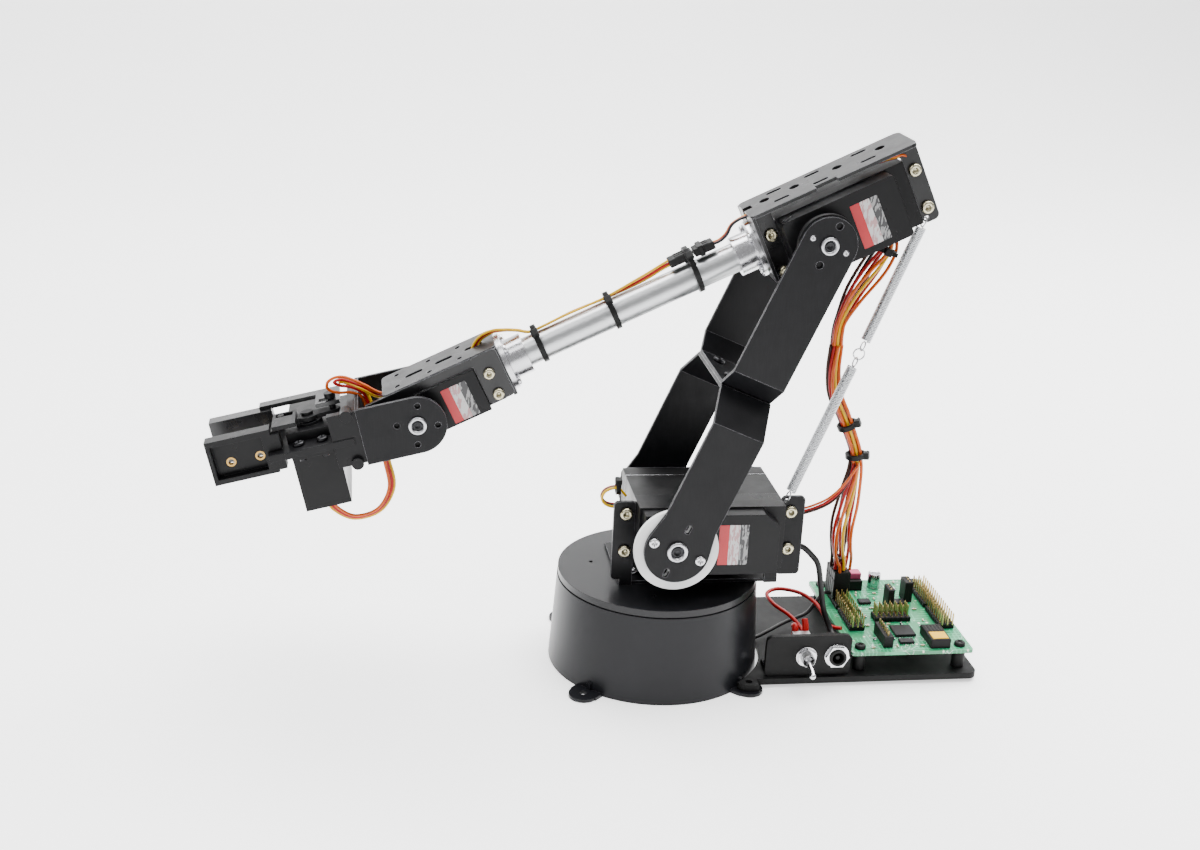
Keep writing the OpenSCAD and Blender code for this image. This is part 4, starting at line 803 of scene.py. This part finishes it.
def tie_band(build, matrix, radius, width=2.5, head=(1, 0.4), tail=5.0):
    """Cable tie about +Z of matrix: strap, ratchet head with the cut tail poking out of it."""
    sides, thick = 40, 0.9
    loops = []
    for k in range(sides):
        a = 2 * math.pi * k / sides
        inner = Vector((radius * math.cos(a), radius * math.sin(a), 0))
        outer = inner * ((radius + thick) / radius)
        loops.append([build.bm.verts.new(matrix @ (p + Vector((0, 0, z))))
                      for p, z in ((inner, -width / 2), (outer, -width / 2 + 0.15), (outer, width / 2 - 0.15),
                                   (inner, width / 2))])
    for k in range(sides):
        a, b = loops[k], loops[(k + 1) % sides]
        for i in range(4):
            face = build.bm.faces.new((a[i], b[i], b[(i + 1) % 4], a[(i + 1) % 4]))
            face.smooth = False
    angle = math.atan2(head[1], head[0])
    reach = radius + thick * 0.5
    block = matrix @ Matrix.Rotation(angle, 4, "Z") @ Matrix.Translation((reach + 0.8, 0, 0))
    build.box((-1.3, -1.7, -width / 2 - 0.4), (1.3, 1.7, width / 2 + 0.4), 0.35, turn=block)
    build.box((-0.4, 1.4, -width / 2 + 0.3), (0.3, 1.4 + tail, width / 2 - 0.3), 0.15, turn=block)


def make_ties():
    build = Build("tube_tie_straps", ROW, "forearm", "tie_nylon", ["tie"])
    to_row = Matrix.Scale(1 / MM, 4) @ FOREARM
    along = Matrix.Rotation(math.pi / 2, 4, "Y")
    for a, up, radius in ((53.3, 3.1, 9.65), (92.3, 1.2, 7.7), (126.7, 1.2, 7.7)):
        where = to_row @ Matrix.Translation((a, ARM_MID, 2.6 + up)) @ along
        tie_band(build, where, radius, head=(-0.75, 0.65), tail=2.6)
    where = Matrix.Translation((-91.3, 5, 197.2)) @ Matrix.Rotation(math.radians(-20), 4, "Y")
    tie_band(build, where, 4.3, head=(0.1, 1), tail=3)
    build.done(["tube_ties"])
    build = Build("loom_tie_straps", ROW, "turret", "tie_nylon", ["tie"])
    for x, z, lean in ((-82.3, 116, 24.5), (-87.7, 101.4, 9)):
        where = Matrix.Translation((x, 5, z)) @ Matrix.Rotation(math.radians(lean), 4, "Y")
        tie_band(build, where, 3.8, head=(-1, 0.5), tail=2.4)
    build.done(["loom_ties"])


def eyelet(build, axis, point, outer, height, bore):
    """Bright flanged bush round a dark socket screw."""
    place = toward(axis, point)
    build.lathe([(outer, -1.5), (outer, height * 0.7), (outer - 0.3, height), (bore + 0.5, height),
                 (bore + 0.1, height - 0.25), (bore, height - 1.2), (0.2, height - 1.2)], 48, 0, place)
    socket = hexagon(bore * 0.42)
    build.lathe([(bore * 0.9, height - 1.25), (bore * 0.88, height - 0.75), (bore * 0.75, height - 0.6),
                 (socket, height - 0.6), (socket, height - 1.15), (0.1, height - 1.2)], 48, 1, place)


def axle(build, axis, point, head, height, radius, depth):
    """Idler axle behind a strap: low turned head with a cross recess."""
    recess = cross(head * 0.45, head * 0.1)
    build.lathe([(radius, -depth), (radius, 0), (head * 0.96, 0), (head, height * 0.3),
                 (head * 0.92, height * 0.85), (head * 0.8, height), (recess, height),
                 (recess, height * 0.4), (0.2, height * 0.3)], 48, 0, toward(axis, point))


def spindle(build, radius, start, end, place=Matrix.Identity(4)):
    """Shaft along +Y that ends inside an eyelet."""
    build.lathe([(radius, start), (radius, end - 1.5), (0.3, end - 1.5)], 24, 0, place @ AXIS_TURN["+Y"])


def make_pivots():
    top = UPPER_LENGTH
    build = Build("arm_pivot_bushes", UPPER, "upper_arm", "pivot_metal", ["pivot", "dark_screw"])
    eyelet(build, "+Y", (0, NEAR_LOW, 0), 4.6, 1.6, 2.9)
    eyelet(build, "+Y", (0, NEAR_UP, top), 3.9, 1.4, 2.4)
    axle(build, "-Y", (0, FAR_LOW, 0), 6, 1.2, 4, 10)
    axle(build, "-Y", (0, FAR_UP, top), 5, 1.2, 3, 4.4)
    spindle(build, 2.1, 33.6, NEAR_LOW)
    spindle(build, 1.6, 24.4, NEAR_UP, Matrix.Translation((0, 0, top)))
    build.done(["arm_pivots"])
    near_hand, far_hand = 25.1, -18.6
    build = Build("hand_pivot_bushes", HAND, "hand", "pivot_metal", ["pivot", "dark_screw"])
    eyelet(build, "+Y", (0, near_hand, 0), 3.9, 1.4, 2.4)
    axle(build, "-Y", (0, far_hand, 0), 5, 1.2, 2.5, 3.4)
    spindle(build, 1.6, 19, near_hand)
    build.done(["hand_pivots"])


make_pivots()
make_base_screws()
make_turret_screws()
make_arm_screws()
make_forearm_screws()
make_hand_screws()
make_ties()


# ---------- controller board ----------
BOARD = Matrix.Translation(BOARD_PLACE * MM) @ Matrix.Scale(MM, 4)
PIN_PITCH = 2.54


def make_headers():
    build = Build("pin_header_strips", BOARD, "base", "header_black", ["header", "gold"])
    for x, j, k in product((20.5, -23.5), range(2), range(8)):
        y = -26 + j * 22.4 + k * PIN_PITCH
        build.box((x - 3.8, y, 0), (x + 3.8, y + 2.5, 2.5), 0.35, 1)
    for k in range(7):
        build.box((-8.5 + k * PIN_PITCH, 1, 0), (-6.0 + k * PIN_PITCH, 8.6, 2.5), 0.35, 1)
    for x, j, k in product((20.5, -23.5), range(16), (-1, 0, 1)):
        if not (x > 0 and j < 5):
            pin(build, x + k * PIN_PITCH, -24.9 + j * 2.8, 8.4)
    for j, k in product(range(7), (-1, 0, 1)):
        pin(build, -7 + j * PIN_PITCH, 4.8 + k * 2.2, 8.4)
    build.done(["pin_headers"])


def pin(build, x, y, top):
    """Square header pin with a tapered tip."""
    rings = [(0.44, 2.3), (0.44, top - 0.7), (0.2, top)]
    build.lathe(rings, 4, 1, Matrix.Translation((x, y, 0)) @ Matrix.Rotation(math.pi / 4, 4, "Z"), False)


def chip(build, low, high, height, legs):
    """Moulded package with a row of legs down each of its two long sides."""
    build.box((*low, 0.25), (*high, height), 0.18, 1)
    along = 0 if high[0] - low[0] >= high[1] - low[1] else 1
    out = 1 - along
    span = high[along] - low[along]
    for k in range(legs):
        middle = low[along] + (k + 0.5) / legs * span
        for a, b in ((low[out] - 0.9, low[out] + 0.2), (high[out] - 0.2, high[out] + 0.9)):
            start, end = [0, 0, 0.02], [0, 0, 0.3]
            start[along], end[along] = middle - 0.2, middle + 0.2
            start[out], end[out] = a, b
            build.box(start, end, 0, 1, 1)


def make_board_parts():
    names = ["chip", "steel", "header", "pink", "jumper", "ceramic", "can", "gold"]
    build = Build("board_parts", BOARD, "base", "chip_black", names)
    chip(build, (-6, 14), (4, 24), 1.5, 10)
    chip(build, (-12, -14), (-4, -9), 1.4, 5)
    chip(build, (5, -15), (11, -10.5), 1.4, 4)
    chip(build, (-3, 27), (4, 31), 1.3, 4)
    build.box((-18.5, 20, 0), (-9, 36, 4.6), 0.35, 2, 2)
    build.box((-17.6, 28.5, 4.5), (-10, 35.2, 5), 0.2, 1, 4)
    for k in range(5):
        build.box((-17.4 + k * 1.7, 21, 4.4), (-16.4 + k * 1.7, 27.5, 4.8), 0.1, 1, 2)
    build.box((8.5, 18, 0), (13, 34, 5.6), 0.3, 2, 2)
    for k in range(6):
        place = Matrix.Translation((10.8, 19.6 + k * PIN_PITCH, 0))
        build.lathe([(0.5, 5.4), (0.5, 7.4), (0.25, 7.9)], 4, 7, place, False)
    for low, high in (((-4, -12), (-1, -4)), ((-16, -20), (-12, -12))):
        build.box((*low, 0), (*high, 10.6), 0.3, 2, 2)
        for k in range(3):
            place = Matrix.Translation((low[0] + 1.5, low[1] + 1.5 + k * 2.4, 0))
            build.lathe([(0.44, 10.2), (0.44, 10.8), (0.2, 11)], 4, 7, place, False)
    build.box((5, -36, 0), (16, -26, 5.4), 0.4, 2, 2)
    for k in range(2):
        build.lathe([(1.9, 5), (1.9, 5.6), (1.5, 5.8), (1.4, 5.2), (0.2, 5.0)], 24, 1,
                    Matrix.Translation((7.8 + k * 5.2, -31, 0)))
    build.box((5.2, -33.8, 5.2), (15.8, -28.2, 8.6), 0.6, 2, 3)
    build.lathe([(3.2, 0), (3.25, 0.6), (3.0, 1.0), (3.2, 1.4), (3.2, 7.3), (3.0, 7.8), (2.7, 7.95),
                 (2.5, 7.7), (0.3, 7.7)], 32, 6, Matrix.Translation((-2, -30, 0)))
    parts = [(-12, -26), (-9, -22), (10, -20), (13.5, -4), (2, -16), (6.5, -6), (12, 2.5), (-14.5, -4),
             (-15, 8), (-12, 14), (8, 12), (3.5, 11), (-3, 11), (14, 12), (-14, 17), (6, 26), (6, 33),
             (-6, 33), (-7, -17), (0, -22), (9, -23), (-18, -30), (-14, -34), (18, 34), (15, 26)]
    for i, (x, y) in enumerate(parts):
        half = (0.85, 0.45) if i % 2 else (0.45, 0.85)
        build.box((x - half[0], y - half[1], 0), (x + half[0], y + half[1], 0.75), 0.08, 1, 5 if i % 3 else 0)
        for s in (-1, 1):
            end = (x + s * half[0], y) if i % 2 else (x, y + s * half[1])
            build.box((end[0] - 0.3, end[1] - 0.3, 0), (end[0] + 0.3, end[1] + 0.3, 0.8), 0.06, 1, 1)
    build.done(["board_chips"])


def make_plugs():
    """Servo plugs on the board's header: housing with ribs and three contact windows each."""
    build = Build("servo_plugs", BOARD, "base", "black_plastic", ["header", "gold"])
    for j in range(5):
        y = -25.6 + j * 2.8
        build.box((16.4, y, 2.6), (24.6, y + 2.5, 16.6), 0.25, 2)
        for k in range(3):
            x = 18.1 + k * 2.4
            build.box((x - 0.6, y - 0.08, 8), (x + 0.6, y + 0.3, 13.4), 0.1, 1, 1)
        build.box((16.2, y + 0.4, 12), (24.8, y + 2.1, 12.8), 0.1, 1)
    build.done(["loom_plugs"])
    fan = Build("plug_wires", ROW, "base", "servo_wire", WIRE_COLOURS)
    colours = ("orange", "red", "brown")
    for j in range(4):
        y = -5.1 - 25.6 + j * 2.8 + 1.25
        for k, colour in enumerate(colours):
            x = -116.1 + 18.1 + k * 2.4
            path = rounded_route([(x, y, 31.2), (x * 0.7 - 95.6 * 0.3, y * 0.8 - 22 * 0.2, 34),
                                  (-95.3 + (k - 1) * 1.3, -20.4 + (j - 1.5) * 1.4, 39)], 6)
            fan.sweep(path, 0.55, 8, WIRE_COLOURS.index(colour if j % 2 else GOLD_LEAD[k]))
    fan.done()


def make_lead_plug():
    """In-line servo connector lying on the tube, with its coloured tail."""
    build = Build("lead_connector", FOREARM, "forearm", "black_plastic", ["header", "tie"] + WIRE_COLOURS)
    for low, high in ((41, 50.5), (51, 62)):
        build.box((low, ARM_MID - 3.6, 10.9), (high, ARM_MID + 3.6, 14.4), 0.45)
        for k in range(3):
            y = ARM_MID - 2.54 + 2.54 * k
            build.box((low + 2.2, y - 0.7, 14.2), (high - 3, y + 0.7, 14.6), 0.12, 1)
    build.box((46, ARM_MID - 4.3, 10.3), (48.4, ARM_MID + 4.3, 15.1), 0.5, 2, 1)
    for k, colour in enumerate(GOLD_LEAD):
        side = ARM_MID + (k - 1) * 1.25
        tail = rounded_route([(41.4, side, 12.6), (38, side, 12.5), (34.4, side, 13.8),
                              (31, side - 0.1, 16.3 + 0.2 * k), (27, side, 17.3 + 0.2 * k),
                              (22, side, 17.3), (17, side, 16.8), (10, side, 16.6)], 6)
        build.sweep(tail, 0.58, 8, 2 + WIRE_COLOURS.index(colour))
    build.done(["lead_plug"])


def tucked(name, link_matrix, body, colours, points, radius=0.55, spacing=1.15):
    """Short visible turn of a lead that is tucked behind a bracket."""
    build = Build(name, link_matrix, body, "servo_wire", WIRE_COLOURS)
    path = rounded_route(points, 8)
    for k, colour in enumerate(colours):
        shift = (k - (len(colours) - 1) / 2) * spacing
        wire = [p + n * shift * 0.35 + b * shift for p, (n, b) in zip(path, frames_along(path))]
        build.sweep(wire, radius, 8, WIRE_COLOURS.index(colour))
    build.done()


def make_tucked_leads():
    tucked("elbow_rear_wires", FOREARM, "forearm", ("orange", "yellow", "red"),
           [(-28, 4, 16.8), (-36, 9, 16.9), (-41.6, 12.4, 17), (-45.6, 13, 16.2), (-46.4, 11, 13),
            (-45.9, 6, 8)])
    tucked("shoulder_front_wires", TURRET, "turret", ("yellow", "black", "red"),
           [(20, 8, 8), (26.5, 9, 9.6), (29.2, 9.5, 13), (27.4, 9.5, 16.6), (22.4, 9, 17.6),
            (18.4, 8, 13.5)], 0.6, 1.1)
    build = Build("shoulder_front_tie", TURRET, "turret", "tie_nylon", ["tie"])
    tie_band(build, Matrix.Translation((22, 9, 17.4)) @ Matrix.Rotation(math.pi / 2, 4, "Y"), 2.2, 2.2,
             head=(-1, 0.2), tail=2)
    build.done()
    build = Build("switch_sleeves", ROW, "base", "red_wire", ["red", "black"])
    for x, top in ((-67.2, 25), (-62.4, 21.5)):
        route = [(x, 20.8, 14), (x - 0.2, 20.4, 18), (x - 0.6, 19, 22), (x - 0.4, 17, top)]
        build.sweep(rounded_route(route, 5), lambda t: 1.75 - 0.35 * t, 14)
    build.done()


make_lead_plug()
make_tucked_leads()
make_headers()
make_board_parts()
make_plugs()


# ---------- servo details ----------
def label(name, link_matrix, body, low, high, y):
    """Generic label: three blocks of plain print, no lettering."""
    build = Build(name, link_matrix, body, "servo_plastic", ["label_red", "label_white", "label_grey"])
    cuts = [0, 0.3, 0.66, 1.0]
    for i, (a, b) in enumerate(zip(cuts, cuts[1:])):
        x0, x1 = low[0] + (high[0] - low[0]) * a, low[0] + (high[0] - low[0]) * b
        outline = rounded_rectangle((x0 + 0.02, low[1]), (x1 - 0.02, high[1]), 0.35, 3)
        build.plate(outline, y, y + 0.12, 0.0, 2 - i, AXIS_TURN["-Y"] @ Matrix.Scale(-1, 4, (0, 0, 1)))
    build.done()


def seam(build, low, high, y, thick=0.22, depth=0.1):
    """Parting line round a case: a shallow dark band standing on its four sides."""
    (x0, z0), (x1, z1) = low, high
    build.box((x0 - depth, y, z1 - 0.02), (x1 + depth, y + thick, z1 + depth), 0.04, 1)
    build.box((x0 - depth, y, z0 - depth), (x1 + depth, y + thick, z0 + 0.02), 0.04, 1)
    build.box((x0 - depth, y, z0), (x0 + 0.02, y + thick, z1), 0.04, 1)
    build.box((x1 - 0.02, y, z0), (x1 + depth, y + thick, z1), 0.04, 1)


def make_servo_details():
    label("shoulder_label", TURRET, "turret", (-33, -9.5), (-19.6, 9.5), 34.4)
    label("elbow_label", FOREARM, "forearm", (-27.6, -10.9), (-15, 9), 24.4)
    label("wrist_label", WRIST_LINK, "forearm", (-25.6, -9), (-14, 7), 17.4)
    build = Build("shoulder_servo_screws", TURRET, "turret", "steel_screws", ["steel", "servo"])
    for x, z in product((-47, 11), (-11, 11)):
        screw(build, "-Y", (x, -19.4, z), 1.7, 1.0, "cross")
    seam(build, (-51, -15), (15, 15), -12)
    build.done()
    build = Build("elbow_servo_screws", FOREARM, "forearm", "steel_screws", ["steel", "servo"])
    for x, z in product((-40.5, 10.5), (-10, 10)):
        screw(build, "-Y", (x, -20.6, z), 1.5, 1.0, "cross")
    build.done()


make_servo_details()


# ---------- finishes of the CAD nodes that stay ----------
FINISH = {
    "base": ["base_shell"],
    "disc": ["turret_disc"],
    "plate": ["electronics_plate", "switch_panel"],
    "part": ["standoffs", "power_jack", "forearm_idlers"],
    "board": ["circuit_board"],
    "servo": ["base_servo", "shoulder_servo_case", "elbow_servo_case"],
    "servo_lid": ["shoulder_gearbox", "elbow_gearbox", "wrist_servo", "gripper_servo"],
    "horn": ["turret_horn", "elbow_horn", "wrist_horn", "gripper_crank"],
    "nylon": ["shoulder_horn"],
    "sheet": ["shoulder_bracket", "lower_fork", "upper_fork", "hand_bracket"],
    "sheet_plate": ["elbow_bracket", "wrist_bracket"],
    "tube": ["forearm_tube"],
    "hub": ["tube_hubs"],
    "frame": ["gripper_frame"],
    "jaw": ["jaw_near"],
    "far_jaw": ["jaw_far"],
    "insert": ["inserts_near", "inserts_far"],
    "switch": ["toggle_switch"],
    "chrome": ["toggle_lever", "panel_nuts"],
}


def finish_nodes():
    for key, names in FINISH.items():
        for name in names:
            for place in NODES[name].material_slots:
                place.link = "OBJECT"
                place.material = M[key]


finish_nodes()


# ---------- floor and light ----------
def make_stage():
    floor_bm = bmesh.new()
    half, back, rise, curve = 4.0, -2.2, 3.0, 1.2
    profile = [(half, 0.0), (back + curve, 0.0)]
    for k in range(1, 13):
        a = math.pi / 2 * k / 12
        profile.append((back + curve - curve * math.sin(a), curve - curve * math.cos(a)))
    profile.append((back, rise))
    rows = [[floor_bm.verts.new((x, y, z)) for y, z in profile] for x in (-half, half)]
    for k in range(len(profile) - 1):
        floor_bm.faces.new((rows[0][k], rows[0][k + 1], rows[1][k + 1], rows[1][k])).smooth = True
    mesh = bpy.data.meshes.new("floor")
    floor_bm.to_mesh(mesh)
    floor_bm.free()
    mesh.materials.append(floor_material())
    floor = bpy.data.objects.new("floor", mesh)
    bpy.context.collection.objects.link(floor)


def area_light(name, place, target, size, power):
    data = bpy.data.lights.new(name, "AREA")
    data.shape, data.size, data.size_y = "RECTANGLE", size[0], size[1]
    data.energy = power
    lamp = bpy.data.objects.new(name, data)
    lamp.location = place
    lamp.rotation_mode = "QUATERNION"
    lamp.rotation_quaternion = (Vector(target) - Vector(place)).to_track_quat("-Z", "Y")
    bpy.context.collection.objects.link(lamp)


def make_light():
    world = bpy.data.worlds.new("studio")
    world.use_nodes = True
    world.node_tree.nodes["Background"].inputs[0].default_value = (1, 1, 1, 1)
    world.node_tree.nodes["Background"].inputs[1].default_value = 0.5
    bpy.context.scene.world = world
    middle = (-0.02, 0.0, 0.1)
    area_light("overhead", (-0.15, -0.35, 1.5), middle, (1.9, 1.5), 95)
    area_light("key", (0.9, 0.7, 1.1), middle, (0.7, 0.7), 7)
    area_light("rim", (-1.1, -0.6, 0.9), middle, (0.7, 0.7), 12)


make_stage()
make_light()
